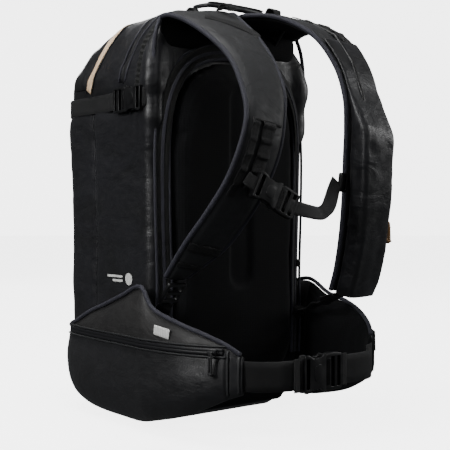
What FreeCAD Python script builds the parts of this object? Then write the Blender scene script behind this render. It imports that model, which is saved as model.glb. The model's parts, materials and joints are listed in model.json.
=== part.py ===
"""Ski-touring avalanche airbag backpack: a parametric FreeCAD document, in millimetres.

The frame: +Z up, +Y towards the front of the pack (away from the wearer), +X to the wearer's left.
The origin is the middle of the flat base that the pack stands on.
"""
import FreeCAD
import Part
import Sketcher
import math
import os

from FreeCAD import Placement, Rotation, Vector

doc = FreeCAD.newDocument("airbag_backpack")
sheet = doc.addObject("Spreadsheet::Sheet", "Dims")

# Every size that can be set by itself, in millimetres.
SIZES = {
    # the bag itself
    "pack_width": 290, "pack_depth": 224, "pack_height": 578, "shell_wall": 2.5, "corner": 30,
    "flap_sill": 472, "flap_gap": 1.5, "flap_foot": 44, "flap_head": -8, "zip_width": 11, "zip_thick": 1.6,
    "airbag_zip_foot": -52, "airbag_zip_head": -89, "side_strap_level": 448, "small_webbing": 20,
    "side_webbing": 26, "side_buckle_thick": 10, "side_socket_length": 36, "side_plug_length": 30,
    # back panel
    "pad_width": 240, "pad_height": 430, "pad_base": 68, "pad_thick": 22, "pad_arch": 92, "pad_corner": 24,
    "spine_width": 44, "spine_base": 150, "spine_deep": 6, "band_width": 18, "band_thick": 3,
    "lumbar_width": 200, "lumbar_height": 50, "lumbar_base": 12, "lumbar_thick": 16,
    "yoke_width": 252, "yoke_height": 46, "yoke_level": 542, "yoke_thick": 7,
    "sheet_width": 200, "sheet_height": 400, "sheet_base": 80, "sheet_thick": 1.8, "stay_width": 14,
    "stay_thick": 3, "stay_spacing": 120, "soft_gap": 1.0,
    # hip belt
    "belt_level": 88, "belt_webbing": 38, "belt_front": 326, "webbing_thick": 1.6, "hip_zip_level": 118,
    # shoulder straps
    "strap_thick": 12, "pouch_deep": 30, "pouch_wall": 1.6, "pouch_gap": 1.4, "pouch_slot": 12, "rail_width": 22,
    "ladder_length": 33, "ladder_thick": 5, "ladder_bar": 5,
    # side release buckles
    "belt_buckle_thick": 12, "small_buckle_thick": 8, "buckle_rim": 5, "buckle_play": 0.5,
    "socket_wall": 1.8, "hip_socket_length": 38, "hip_plug_length": 30, "small_socket_length": 28,
    "small_plug_length": 24,
    # zip sliders
    "slider_length": 13, "slider_width": 9, "slider_thick": 4, "pull_length": 30, "pull_width": 6,
    "pull_thick": 2,
    # grab handle
    "handle_span": 122, "handle_reach": 32, "handle_section": 9,
    # airbag system
    "bottle_diameter": 62, "bottle_length": 205, "bottle_base": 195, "neck_diameter": 22,
    "neck_length": 18, "head_size": 46, "head_height": 44, "outlet_diameter": 26, "pin_diameter": 4,
    "pin_play": 0.2, "lever_length": 34, "lever_width": 8, "lever_thick": 5, "trigger_width": 24,
    "trigger_length": 84, "trigger_thick": 14, "cable_diameter": 5, "cable_play": 0.6,
}
for row, (alias, value) in enumerate(SIZES.items(), start=1):
    sheet.set(f"A{row}", alias)
    sheet.set(f"B{row}", str(value))
    sheet.setAlias(f"B{row}", alias)
doc.recompute()

EX, EY, EZ = Vector(1, 0, 0), Vector(0, 1, 0), Vector(0, 0, 1)
LEFT, RIGHT = 1, -1          # the wearer's left is +X
PARTS = []


def size(alias):
    """The value of one driving dimension, read from the sheet."""
    return float(getattr(sheet, alias))


def keep(obj, label, place=None):
    """Registers an object as one sub-part of the pack, under the name of its file."""
    obj.Label = label
    if place is not None:
        obj.Placement = place
    PARTS.append(obj)
    return obj


def feature(label, shape):
    """A sub-part whose shape is set directly, for soft forms that sketches don't fit."""
    obj = doc.addObject("Part::Feature", label)
    obj.Shape = shape
    return keep(obj, label)


def placed(origin, along, normal):
    """The placement that carries a piece's own x to along and its own z to normal."""
    return Placement(origin, Rotation(along, normal.cross(along), normal, "XZY"))


# ---------------------------------------------------------------- primitives bound to the sheet

def block(name, x0, x1, y0, y1, z0, z1):
    """A box between two corners, each written as an expression of the sheet's cells."""
    box = doc.addObject("Part::Box", name)
    for prop, low, high in (("Length", x0, x1), ("Width", y0, y1), ("Height", z0, z1)):
        box.setExpression(prop, f"({high}) - ({low})")
    for axis, low in (("x", x0), ("y", y0), ("z", z0)):
        box.setExpression(f"Placement.Base.{axis}", f"{low}")
    return box


def rod(name, diameter, length, base, direction):
    """A cylinder of a bound diameter and length, from base along direction."""
    bar = doc.addObject("Part::Cylinder", name)
    bar.setExpression("Radius", f"({diameter}) / 2")
    bar.setExpression("Height", length)
    bar.Placement = Placement(base, Rotation(EZ, direction))
    return bar


def fuse(name, *pieces):
    """Several pieces made one."""
    obj = doc.addObject("Part::MultiFuse", name)
    obj.Shapes = list(pieces)
    return obj


def cut(name, base, *tools):
    """base with each tool cut away in turn."""
    for i, tool in enumerate(tools):
        obj = doc.addObject("Part::Cut", f"{name}_cut{i}")
        obj.Base, obj.Tool = base, tool
        base = obj
    return base


def rounded_edges(name, base, radius, chosen):
    """base with the straight edges that chosen(edge) picks rounded to radius."""
    doc.recompute()
    obj = doc.addObject("Part::Fillet", name)
    obj.Base = base
    obj.Edges = [(i + 1, radius, radius) for i, e in enumerate(base.Shape.Edges) if chosen(e)]
    return obj


def runs_along(axis, least=0.5):
    """A test for a straight edge along that axis."""
    def test(edge):
        span = edge.Vertexes[-1].Point - edge.Vertexes[0].Point
        return span.Length > least and abs(Vector(span).normalize().dot(axis)) > 0.999
    return test


# ---------------------------------------------------------------- sketched panels

def panel_body(name, x0, x1, z0, z1, y_face, thick, top_radius, foot_radius):
    """A panel on the back of the pack: a sketched rectangle padded towards the wearer, corners rounded.

    The sketch stands in the body's XZ plane, moved to y_face; the pad grows towards -Y.
    """
    body = doc.addObject("PartDesign::Body", name)
    sketch = rectangle_sketch(body, f"{name}_outline", x0, x1, z0, z1, y_face)
    pad = body.newObject("PartDesign::Pad", f"{name}_pad")
    pad.Profile = sketch
    pad.setExpression("Length", thick)
    doc.recompute()
    high = max(v.Point.z for v in pad.Shape.Vertexes)
    across = runs_along(EY)
    for which, radius in (("top", top_radius), ("foot", foot_radius)):
        base = body.Tip
        names = [f"Edge{i + 1}" for i, e in enumerate(base.Shape.Edges)
                 if across(e) and (abs(e.Vertexes[0].Point.z - high) < 1) == (which == "top")]
        corners = body.newObject("PartDesign::Fillet", f"{name}_{which}")
        corners.Base = (base, names)
        corners.setExpression("Radius", radius)
        doc.recompute()
    return body


def rectangle_sketch(body, name, x0, x1, z0, z1, y_face):
    """A fully constrained rectangle in the body's XZ plane, its sides bound to expressions."""
    sketch = body.newObject("Sketcher::SketchObject", name)
    sketch.AttachmentSupport = [(next(o for o in body.Origin.OriginFeatures if o.Role == "XZ_Plane"), "")]
    sketch.MapMode = "FlatFace"
    sketch.setExpression("AttachmentOffset.Base.z", f"-({y_face})")
    rough = [Vector(-9, -9, 0), Vector(9, -9, 0), Vector(9, 9, 0), Vector(-9, 9, 0)]
    for i in range(4):
        sketch.addGeometry(Part.LineSegment(rough[i], rough[(i + 1) % 4]), False)
    for i in range(4):
        sketch.addConstraint(Sketcher.Constraint("Coincident", i, 2, (i + 1) % 4, 1))
    for i, (x, z) in enumerate(((x0, z0), (x1, z0), (x1, z1), (x0, z1))):
        for kind, text, value in (("DistanceX", x, rough[i].x), ("DistanceY", z, rough[i].y)):
            index = sketch.addConstraint(Sketcher.Constraint(kind, -1, 1, i, 1, value))
            sketch.setExpression(f"Constraints[{index}]", text)
    doc.recompute()
    return sketch


# ---------------------------------------------------------------- soft forms

def section(centre, across, normal, half_wide, half_thick, radius):
    """A closed rounded rectangle around centre, in the plane of across and normal."""
    def at(a, n):
        return centre + across * a + normal * n

    edges = []
    a, n = half_wide - radius, half_thick - radius
    bend = radius * math.sqrt(0.5)
    corners = ((1, 1), (-1, 1), (-1, -1), (1, -1))
    for i, (i_a, i_n) in enumerate(corners):
        low, high = at(i_a * half_wide, i_n * n), at(i_a * a, i_n * half_thick)
        middle = at(i_a * (a + bend), i_n * (n + bend))
        first, last = (low, high) if i % 2 == 0 else (high, low)
        edges.append(Part.Arc(first, middle, last).toShape())
        k_a, k_n = corners[(i + 1) % 4]
        if i % 2 == 0:
            edges.append(Part.makeLine(last, at(k_a * a, k_n * half_thick)))
        else:
            edges.append(Part.makeLine(last, at(k_a * half_wide, k_n * n)))
    return Part.Wire(edges)


def smooth(points, t):
    """The point at t along a smooth curve through the points, t running from 0 to one less than their count."""
    last = len(points) - 1
    i = min(int(t), last - 1)
    u = t - i
    p0 = points[max(i - 1, 0)]
    p1, p2 = points[i], points[i + 1]
    p3 = points[min(i + 2, last)]
    return (p1 * 2 + (p2 - p0) * u + (p0 * 2 - p1 * 5 + p2 * 4 - p3) * u ** 2
            + (p1 * 3 - p0 - p2 * 3 + p3) * u ** 3) * 0.5


class Band:
    """A soft strap between two edges, each a list of points; its outer face looks away from its inner one.

    inward is a point on the inner side of the strap, which tells the two faces apart.
    """

    def __init__(self, first, second, thick, inward):
        self.first, self.second, self.thick, self.inward = first, second, thick, inward
        self.last = len(first) - 1

    def frame(self, t):
        """Centre, direction across, outward normal and half width at t."""
        a, b = smooth(self.first, t), smooth(self.second, t)
        step = 0.05
        t0, t1 = max(t - step, 0), min(t + step, self.last)
        before = (smooth(self.first, t0) + smooth(self.second, t0)) * 0.5
        after = (smooth(self.first, t1) + smooth(self.second, t1)) * 0.5
        across = (b - a).normalize()
        normal = across.cross(after - before).normalize()
        centre = (smooth(self.first, t) + smooth(self.second, t)) * 0.5
        if normal.dot(centre - self.inward) < 0:
            normal = normal * -1
        return centre, across, normal, (smooth(self.second, t) - smooth(self.first, t)).Length / 2

    def thickness(self, t):
        """The thickness at t, read from a list of one value for each point."""
        i = min(int(t), self.last - 1)
        return self.thick[i] + (self.thick[i + 1] - self.thick[i]) * (t - i)

    def solid(self, start, end, count, softness=0.42):
        """The strap itself between start and end."""
        wires = []
        for i in range(count):
            t = start + (end - start) * i / (count - 1)
            centre, across, normal, half = self.frame(t)
            thick = self.thickness(t)
            wires.append(section(centre, across, normal, half, thick / 2, thick * softness))
        return Part.makeLoft(wires, True, False)

    def tape(self, start, end, count, width, thick, shift, gap):
        """A thin tape laid on the outer face, shift to one side of the middle, gap off the face."""
        wires = []
        for i in range(count):
            t = start + (end - start) * i / (count - 1)
            centre, across, normal, half = self.frame(t)
            rise = self.thickness(t) / 2 + gap + thick / 2
            wires.append(section(centre + across * shift + normal * rise, across, normal,
                                 width / 2, thick / 2, thick * 0.3))
        return Part.makeLoft(wires, True, False)


def tube(points, bend, radius):
    """A round cord along straight runs joined by tangent arcs of radius bend; returns it and its length."""
    edges = []
    start = points[0]
    for i in range(1, len(points) - 1):
        before = (points[i] - points[i - 1]).normalize()
        after = (points[i + 1] - points[i]).normalize()
        turn = before.getAngle(after)
        back = bend * math.tan(turn / 2)
        enter, leave = points[i] - before * back, points[i] + after * back
        inside = (after - before).normalize()
        centre = points[i] + inside * (bend / math.cos(turn / 2))
        middle = centre - inside * bend
        edges.append(Part.LineSegment(start, enter).toShape())
        edges.append(Part.Arc(enter, middle, leave).toShape())
        start = leave
    edges.append(Part.LineSegment(start, points[-1]).toShape())
    wire = Part.Wire(edges)
    round_end = Part.Wire([Part.makeCircle(radius, points[0], points[1] - points[0])])
    return wire.makePipeShell([round_end], True, True), wire.Length


# ---------------------------------------------------------------- the bag

WIDE, DEEP, TALL = size("pack_width") / 2, size("pack_depth") / 2, size("pack_height")
BACK, FRONT = -DEEP, DEEP
WALL = size("shell_wall")
# the strap, belt and cable tables below are written for a pack of this half width, half depth and height
STANDARD_WIDE, STANDARD_DEEP, STANDARD_TALL = 145, 112, 578


def fitted(x, y, z=0.0):
    """A point from a table, moved with the pack's own width, depth and height."""
    return Vector(x * WIDE / STANDARD_WIDE, y - DEEP + STANDARD_DEEP, z * TALL / STANDARD_TALL)


# height, half width, depth behind the middle and depth in front of it, as shares of the overall sizes
BAG_LEVELS = [
    (0.000, 0.76, 0.82, 0.46),
    (0.035, 0.90, 0.96, 0.80),
    (0.120, 0.95, 1.00, 0.97),
    (0.270, 0.965, 1.00, 1.01),
    (0.430, 0.97, 1.00, 1.02),
    (0.590, 0.985, 1.00, 1.03),
    (0.740, 1.00, 1.00, 1.01),
    (0.850, 0.99, 1.00, 0.86),
    (0.925, 0.93, 1.00, 0.54),
    (0.975, 0.80, 0.98, 0.14),
    (1.000, 0.62, 0.90, -0.26),
]


def bag_form(inset):
    """The bag's outside as a closed solid, drawn in by inset all over."""
    wires = []
    for share, wide, back, front in BAG_LEVELS:
        low, high = inset, TALL - inset
        level = low + (high - low) * share
        y0, y1 = -back * DEEP + inset, front * DEEP - inset
        half_x, half_y = wide * WIDE - inset, (y1 - y0) / 2
        radius = min(size("corner"), half_y * 0.8) - inset * 0.5
        wires.append(section(Vector(0, (y0 + y1) / 2, level), EX, EY, half_x, half_y, radius))
    return Part.makeLoft(wires, True, False)


def leaning_slab(foot, head, sill, thick):
    """A slab behind the plane that leans from y = foot at the sill to y = head at the bag's top."""
    level_0, level_1 = sill, TALL + 20
    lean = (head - foot) / (TALL - sill)
    y_1 = foot + lean * (level_1 - level_0)
    reach = WIDE * 1.4
    corners = [Vector(-reach, foot, level_0), Vector(-reach, y_1, level_1),
               Vector(-reach, y_1 + thick, level_1), Vector(-reach, foot + thick, level_0)]
    return Part.Face(Part.makePolygon(corners + corners[:1])).extrude(Vector(2 * reach, 0, 0))


OUTSIDE = bag_form(0)


def shell_panels(skin):
    """The shell as the panels of cloth it is sewn from: base, back, sides, front, corners and yoke."""
    corner_x, corner_y = WIDE - size("corner") - 4, FRONT - size("corner") - 8
    back_y = BACK + size("corner") + 12
    far, base, boat, sill, top = WIDE * 2, 10, 53, size("flap_sill"), TALL + 20
    diagonal = [(corner_x, corner_y), (corner_x + far, corner_y + far)]
    back = [(-far, -far), (far, -far), (far, back_y), (-far, back_y)]
    front = [(-corner_x, corner_y), (corner_x, corner_y), (corner_x, far), (-corner_x, far)]
    side = [(0, back_y), (far, back_y), (far, corner_y), (0, corner_y)]
    corner_side = [diagonal[0], (far, corner_y), (far * 2, corner_y), diagonal[1]]
    corner_front = [diagonal[0], diagonal[1], (corner_x, corner_y + far)]
    low_front = [(-far, corner_y), (far, corner_y), (far, far), (-far, far)]
    whole = [(-far, -far), (far, -far), (far, far), (-far, far)]
    cells = [(whole, -5, base), (low_front, base, boat), (side, base, boat), (back, base, sill)]
    cells += [(front, boat, sill), (side, boat, sill), (corner_side, boat, sill), (corner_front, boat, sill)]
    cells += [([(-x, y) for x, y in outline], low, high) for outline, low, high in cells
              if outline in (side, corner_side, corner_front)]
    crown = TALL - size("corner") * 2
    wing_x = WIDE * 0.72
    cells += [([(-far, -far), (-wing_x, -far), (-wing_x, far), (-far, far)], sill, top),
              ([(wing_x, -far), (far, -far), (far, far), (wing_x, far)], sill, top),
              ([(-wing_x, -far), (wing_x, -far), (wing_x, back_y), (-wing_x, back_y)], sill, crown),
              ([(-wing_x, -far), (wing_x, -far), (wing_x, far), (-wing_x, far)], crown, top)]
    panels = []
    for outline, low, high in cells:
        points = [Vector(x, y, low) for x, y in outline]
        cell = Part.Face(Part.makePolygon(points + points[:1])).extrude(Vector(0, 0, high - low))
        panels += [panel for panel in skin.common(cell).Solids if panel.Volume > 5]
    return panels


def bag_pieces(cable_hole):
    """The hollow shell, its hinged front flap and the two zips that arch over the top."""
    skin = OUTSIDE.cut(bag_form(WALL))
    gap, sill = size("flap_gap"), size("flap_sill")
    foot, head = size("flap_foot"), size("flap_head")
    in_front = DEEP * 3
    hole = leaning_slab(foot - gap, head - gap, sill - gap, in_front)
    feature("main_shell", Part.makeCompound(shell_panels(skin.cut(hole).cut(cable_hole))))
    feature("front_flap", skin.common(leaning_slab(foot, head, sill, in_front)))
    around = bag_form(-size("zip_thick")).cut(OUTSIDE)
    width = size("zip_width")
    slab = leaning_slab(foot - gap - width, head - gap - width, sill, width)
    feature("front_zip", around.common(slab))
    slab = leaning_slab(size("airbag_zip_foot"), size("airbag_zip_head"), sill, width)
    feature("airbag_zip", around.common(slab))


# ---------------------------------------------------------------- back panel

def back_panel():
    """The frame inside the bag, the foam back pad with its spine channel and the zip band round it."""
    back_face = "-Dims.pack_depth / 2"
    pad_face = f"{back_face} - Dims.soft_gap"
    half, top = "Dims.pad_width / 2", "Dims.pad_base + Dims.pad_height"
    pad = panel_body("back_pad", f"-{half}", half, "Dims.pad_base", top, pad_face, "Dims.pad_thick",
                     "Dims.pad_arch", "Dims.pad_corner")
    keep(pad, "back_pad")
    channel = rectangle_sketch(pad, "spine_outline", "-Dims.spine_width / 2", "Dims.spine_width / 2",
                               "Dims.spine_base", "Dims.pad_base + Dims.pad_height - Dims.pad_arch / 2",
                               f"{pad_face} - Dims.pad_thick")
    before = pad.Shape.Volume
    pocket = pad.newObject("PartDesign::Pocket", "spine_channel")
    pocket.Profile = channel
    pocket.setExpression("Length", "Dims.spine_deep")
    doc.recompute()
    if pad.Shape.Volume > before - 1000:
        raise ValueError("the spine channel does not cut the back pad")

    outer = panel_body("zip_band_outside", f"-{half} - Dims.band_width", f"{half} + Dims.band_width",
                       "Dims.pad_base", f"{top} + Dims.band_width", pad_face, "Dims.band_thick",
                       "Dims.pad_arch + Dims.band_width", "Dims.pad_corner")
    inner = panel_body("zip_band_inside", f"-{half} - Dims.soft_gap", f"{half} + Dims.soft_gap",
                       "Dims.pad_base - 1", f"{top} + Dims.soft_gap", f"{pad_face} + 1",
                       "Dims.band_thick + 2", "Dims.pad_arch + Dims.soft_gap", "Dims.pad_corner")
    keep(cut("back_zip_band", outer, inner), "back_zip_band")
    lumbar = panel_body("lumbar_pad", "-Dims.lumbar_width / 2", "Dims.lumbar_width / 2", "Dims.lumbar_base",
                        "Dims.lumbar_base + Dims.lumbar_height", pad_face, "Dims.lumbar_thick", "12", "14")
    keep(lumbar, "lumbar_pad")

    inside = "-Dims.pack_depth / 2 + Dims.shell_wall + 3"
    keep(panel_body("frame_sheet", "-Dims.sheet_width / 2", "Dims.sheet_width / 2", "Dims.sheet_base",
                    "Dims.sheet_base + Dims.sheet_height", f"{inside} + Dims.sheet_thick",
                    "Dims.sheet_thick", "40", "20"), "frame_sheet")
    stays = []
    for name, middle in (("left", "Dims.stay_spacing / 2"), ("right", "-Dims.stay_spacing / 2")):
        stay = block(f"stay_{name}", f"{middle} - Dims.stay_width / 2", f"{middle} + Dims.stay_width / 2",
                     f"{inside} + Dims.sheet_thick + 0.2", f"{inside} + Dims.sheet_thick + 0.2 + Dims.stay_thick",
                     "Dims.sheet_base + 14", "Dims.sheet_base + Dims.sheet_height - 20")
        stays.append(rounded_edges(f"stay_{name}_soft", stay, 1.2, runs_along(EZ)))
    keep(fuse("frame_stays", *stays), "frame_stays")


def yoke(cable_hole):
    """The stitched panel across the shoulders that both straps are sewn to."""
    half = "Dims.yoke_width / 2"
    panel = panel_body("yoke_blank", f"-{half}", half, "Dims.yoke_level - Dims.yoke_height / 2",
                       "Dims.yoke_level + Dims.yoke_height / 2", "-Dims.pack_depth / 2 - Dims.soft_gap",
                       "Dims.yoke_thick", "22", "16")
    doc.recompute()
    feature("yoke_panel", panel.Shape.cut(cable_hole))


# ---------------------------------------------------------------- hip belt

def upright(at, low, high):
    """A pair of points on an upright section of the hip belt."""
    return Vector(at.x, at.y, low), Vector(at.x, at.y, high)


# x, y, lowest, highest and thickness of the hip pocket on the wearer's right side
SIDE_POCKET = [(144, 94, 46, 122, 6), (148, 66, 22, 131, 12), (151, 0, 10, 156, 19),
               (152, -62, 8, 178, 21), (151, -109, 8, 188, 19)]
# the padded wing that carries on from it, on the right and on the left
WING_RIGHT = [(156, -119, 8, 186, 29), (159, -152, 15, 160, 32), (152, -220, 34, 142, 26),
              (137, -260, 52, 127, 18), (124, -284, 64, 112, 12)]
WING_LEFT = [(156, -119, 8, 188, 29), (160, -158, 15, 168, 31), (157, -204, 28, 156, 25),
             (147, -238, 44, 140, 17), (134, -262, 62, 114, 12)]


def upright_band(rows, side, inward):
    """A band of foam standing on edge, through rows of x, y, low, high and thickness."""
    pairs = [upright(fitted(side * x, y), low, high) for x, y, low, high, thick in rows]
    return Band([p[0] for p in pairs], [p[1] for p in pairs], [row[4] for row in rows], inward)


def zip_line(band, start, end, level, lift):
    """A straight zip on a band's outer face: a tape at one level."""
    wires = []
    count = 7
    for i in range(count):
        t = start + (end - start) * i / (count - 1)
        centre, across, normal, half = band.frame(t)
        flat = Vector(normal.x, normal.y, 0).normalize()
        at = Vector(centre.x, centre.y, level) + flat * (band.thickness(t) / 2 + lift)
        wires.append(section(at, EZ, flat, size("zip_width") / 2, size("zip_thick") / 2, 0.5))
    return Part.makeLoft(wires, True, False)


def hip_belt():
    """The pocket wings on both sides, their zips and the webbing to the buckle."""
    centre_of_pack = Vector(0, 0, 100)
    for side, name, rows in ((RIGHT, "right", WING_RIGHT), (LEFT, "left", WING_LEFT)):
        pocket = upright_band(SIDE_POCKET, side, centre_of_pack)
        feature(f"side_pocket_{name}", pocket.solid(0, 4, 9))
        wing = upright_band(rows, side, Vector(0, -150, 100))
        feature(f"hip_wing_{name}", wing.solid(0, 4, 9))
        lift = size("zip_thick") / 2 + 0.4
        lines = [zip_line(pocket, 0.9, 4, size("hip_zip_level"), lift),
                 zip_line(wing, 0.05, 3.0, size("hip_zip_level"), lift)]
        feature(f"hip_zip_{name}", Part.makeCompound(lines))


def belt_tape(name, route):
    """A run of belt webbing standing on edge along a route of points."""
    low, high = size("belt_level") - size("belt_webbing") / 2, size("belt_level") + size("belt_webbing") / 2
    pairs = [upright(at, low, high) for at in route]
    thick = [size("webbing_thick")] * len(route)
    band = Band([p[0] for p in pairs], [p[1] for p in pairs], thick, Vector(0, 0, 88))
    return feature(name, band.solid(0, band.last, 3 * len(route), 0.25))


# ---------------------------------------------------------------- side release buckles

def buckle(name, webbing, thick, socket_length, plug_length, place):
    """A side release buckle: a hollow socket and the two-armed plug that slides out of it along +x.

    Its own frame: x the way the plug leaves, y across, z out of the face; the mouth is at x = 0.
    """
    half = f"(Dims.{webbing} / 2 + Dims.buckle_rim)"
    deep = f"(Dims.{thick} / 2)"
    long, bar = f"Dims.{socket_length}", f"Dims.{plug_length}"
    wall, play, rim = "Dims.socket_wall", "Dims.buckle_play", "Dims.buckle_rim"
    body = block(f"{name}_socket_blank", f"-{long}", "0", f"-{half}", half, f"-{deep}", deep)
    body = rounded_edges(f"{name}_socket_soft", body, 2.2, runs_along(EX))
    cavity = block(f"{name}_cavity", f"-{long} * 0.66", "1", f"-{half} + {wall} * 1.6",
                   f"{half} - {wall} * 1.6", f"-{deep} + {wall}", f"{deep} - {wall}")
    windows = block(f"{name}_windows", f"-{long} * 0.52", f"-{long} * 0.2", f"-{half} - 1", f"{half} + 1",
                    f"-{deep} + {wall} * 1.3", f"{deep} - {wall} * 1.3")
    eye = block(f"{name}_eye", f"-{long} + 3", f"-{long} * 0.74", f"-Dims.{webbing} / 2",
                f"Dims.{webbing} / 2", f"-{deep} - 1", f"{deep} + 1")
    keep(cut(f"{name}_socket", body, cavity, windows, eye), f"{name}_socket", place)

    thin = f"({deep} - {wall} - {play})"
    arm_out = f"({half} - {wall} * 1.6 - {play})"
    pieces = []
    for tag, sign in (("a", ""), ("b", "-")):
        low, high = (f"{arm_out} - {rim}", arm_out) if sign == "" else (f"-{arm_out}", f"-{arm_out} + {rim}")
        pieces.append(block(f"{name}_arm_{tag}", f"-{long} * 0.58", f"{play} + 1", low, high, f"-{thin}", thin))
    pieces.append(block(f"{name}_tongue", f"-{long} * 0.5", f"{play} + 1", "-3", "3", f"-{thin}", thin))
    head = block(f"{name}_head", play, f"{play} + {bar}", f"-{half}", half, f"-{deep}", deep)
    head = rounded_edges(f"{name}_head_soft", head, 2.2, runs_along(EX))
    slots = []
    for i in range(2):
        start = f"{play} + {bar} * {0.30 + 0.34 * i}"
        slots.append(block(f"{name}_slot_{i}", start, f"{start} + {bar} * 0.2", f"-Dims.{webbing} / 2",
                           f"Dims.{webbing} / 2", f"-{deep} - 1", f"{deep} + 1"))
    plug = cut(f"{name}_plug_cut", fuse(f"{name}_plug_whole", head, *pieces), *slots)
    keep(plug, f"{name}_plug", place)


def ladder_lock(name, place):
    """A two-bar ladder lock: a small frame that the lower webbing threads through, hung by its top bar."""
    half = "(Dims.small_webbing / 2 + Dims.ladder_bar)"
    deep, long, bar = "(Dims.ladder_thick / 2)", "Dims.ladder_length", "Dims.ladder_bar"
    frame = block(f"{name}_blank", f"-{bar} / 2", f"{long} - {bar} / 2", f"-{half}", half, f"-{deep}", deep)
    frame = rounded_edges(f"{name}_soft", frame, 1.5, runs_along(EX))
    gap = f"({long} - 3 * {bar}) / 2"
    eyes = []
    for i in range(2):
        start = f"({bar} / 2 + {i} * ({gap} + {bar}))"
        eyes.append(block(f"{name}_eye_{i}", start, f"{start} + {gap}", "-Dims.small_webbing / 2",
                          "Dims.small_webbing / 2", f"-{deep} - 1", f"{deep} + 1"))
    keep(cut(name, frame, *eyes), name, place)


# ---------------------------------------------------------------- shoulder straps

# outer edge and inner edge of the strap on the wearer's right, from the yoke down to its ladder lock
STRAP_RIGHT = [
    ((-125, -128, 552), (-17, -128, 564)), ((-118, -160, 545), (-26, -164, 550)),
    ((-110, -202, 519), (-35, -208, 521)), ((-108, -240, 486), (-40, -244, 484)),
    ((-112, -268, 444), (-48, -271, 446)), ((-118, -281, 409), (-55, -281, 412)),
    ((-125, -276, 371), (-61, -279, 371)), ((-131, -258, 331), (-69, -266, 330)),
    ((-138, -228, 291), (-79, -244, 289)), ((-144, -189, 249), (-92, -208, 245)),
    ((-147, -150, 205), (-117, -156, 203)),
]
# the strap on the wearer's left carries the trigger pouch and hangs straighter
STRAP_LEFT = [
    ((128, -128, 552), (17, -128, 564)), ((127, -176, 558), (32, -180, 562)),
    ((125, -226, 534), (48, -231, 536)), ((123, -262, 494), (57, -264, 493)),
    ((122, -280, 447), (59, -281, 449)), ((123, -282, 405), (61, -282, 407)),
    ((125, -278, 362), (63, -278, 363)), ((129, -271, 312), (67, -272, 312)),
    ((134, -259, 262), (72, -262, 262)), ((140, -243, 215), (78, -247, 214)),
    ((144, -226, 184), (84, -231, 183)),
]


def strap_band(pairs):
    """The band of a shoulder strap between its outer and inner edges."""
    thick = [size("strap_thick")] * len(pairs)
    return Band([fitted(*a) for a, b in pairs], [fitted(*b) for a, b in pairs], thick, fitted(0, -110, 380))


RIGHT_STRAP, LEFT_STRAP = strap_band(STRAP_RIGHT), strap_band(STRAP_LEFT)


def straps(cable_hole):
    """Both shoulder straps, the chain of webbing loops on each and the zipped trigger pouch."""
    feature("shoulder_strap_right", RIGHT_STRAP.solid(0, RIGHT_STRAP.last, 21))
    feature("shoulder_strap_left", LEFT_STRAP.solid(0, LEFT_STRAP.last, 21).cut(cable_hole))
    thin, wide = size("webbing_thick"), size("rail_width")
    feature("strap_webbing_right", RIGHT_STRAP.tape(2.2, 8.4, 17, wide, thin, 0, 0.8))
    feature("strap_webbing_left", LEFT_STRAP.tape(1.2, 3.4, 9, wide, thin, -23, 1.0))


def pouch_wires(grow, start, end, count):
    """Sections of the trigger pouch, drawn in by grow, standing on the left strap's outer face."""
    wires = []
    deep = size("pouch_deep")
    for i in range(count):
        t = start + (end - start) * i / (count - 1)
        centre, across, normal, half = LEFT_STRAP.frame(t)
        rise = size("strap_thick") / 2 + size("pouch_gap") + deep / 2
        wires.append(section(centre + normal * rise, across, normal, half - grow, deep / 2 - grow,
                             10 - grow * 0.5))
    return wires


def trigger_pouch(cable_hole):
    """The hollow sleeve for the trigger handle, its side slot and the long zip that covers the slot."""
    wall, slot = size("pouch_wall"), size("pouch_slot")
    outer = Part.makeLoft(pouch_wires(0, 4.35, 9.9, 11), True, False)
    inner = Part.makeLoft(pouch_wires(wall, 4.4, 9.85, 11), True, False)
    wires, tape = [], []
    for i in range(9):
        t = 4.75 + (9.3 - 4.75) * i / 8
        centre, across, normal, half = LEFT_STRAP.frame(t)
        rise = size("strap_thick") / 2 + size("pouch_gap") + size("pouch_deep") / 2
        edge = centre + normal * rise - across * half
        a, n = across * 6, normal * (slot / 2)
        ring = [edge + a + n, edge - a + n, edge - a - n, edge + a - n]
        wires.append(Part.makePolygon(ring + ring[:1]))
        out = edge - across * (size("zip_thick") / 2 + 0.4)
        tape.append(section(out, across, normal, size("zip_thick") / 2, slot / 2 + 2, 0.5))
    hollow = outer.cut(inner).cut(Part.makeLoft(wires, True, True))
    feature("trigger_pouch", hollow.cut(cable_hole))
    feature("pouch_zip", Part.makeLoft(tape, True, False))


def write_parts():
    """Checks every object, then writes one STEP file for each sub-part."""
    doc.recompute()
    for obj in doc.Objects:
        if "Invalid" in obj.State or "Error" in obj.State:
            raise ValueError(f"{obj.Label} is {obj.State}")
    os.makedirs("parts", exist_ok=True)
    for obj in PARTS:
        shape = obj.Shape
        if shape.isNull() or not shape.isValid() or not shape.Solids:
            raise ValueError(f"{obj.Label} has no valid solid")
        shape.exportStep(f"parts/{obj.Label}.step")
        box = shape.optimalBoundingBox(False)
        print(f"{obj.Label:24s} {shape.Volume / 1000:8.2f} cm3 {len(shape.Solids)} solids"
              f"  x {box.XMin:.0f}..{box.XMax:.0f}  y {box.YMin:.0f}..{box.YMax:.0f}"
              f"  z {box.ZMin:.0f}..{box.ZMax:.0f}")


# ---------------------------------------------------------------- webbing, buckles and ladder locks

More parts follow.
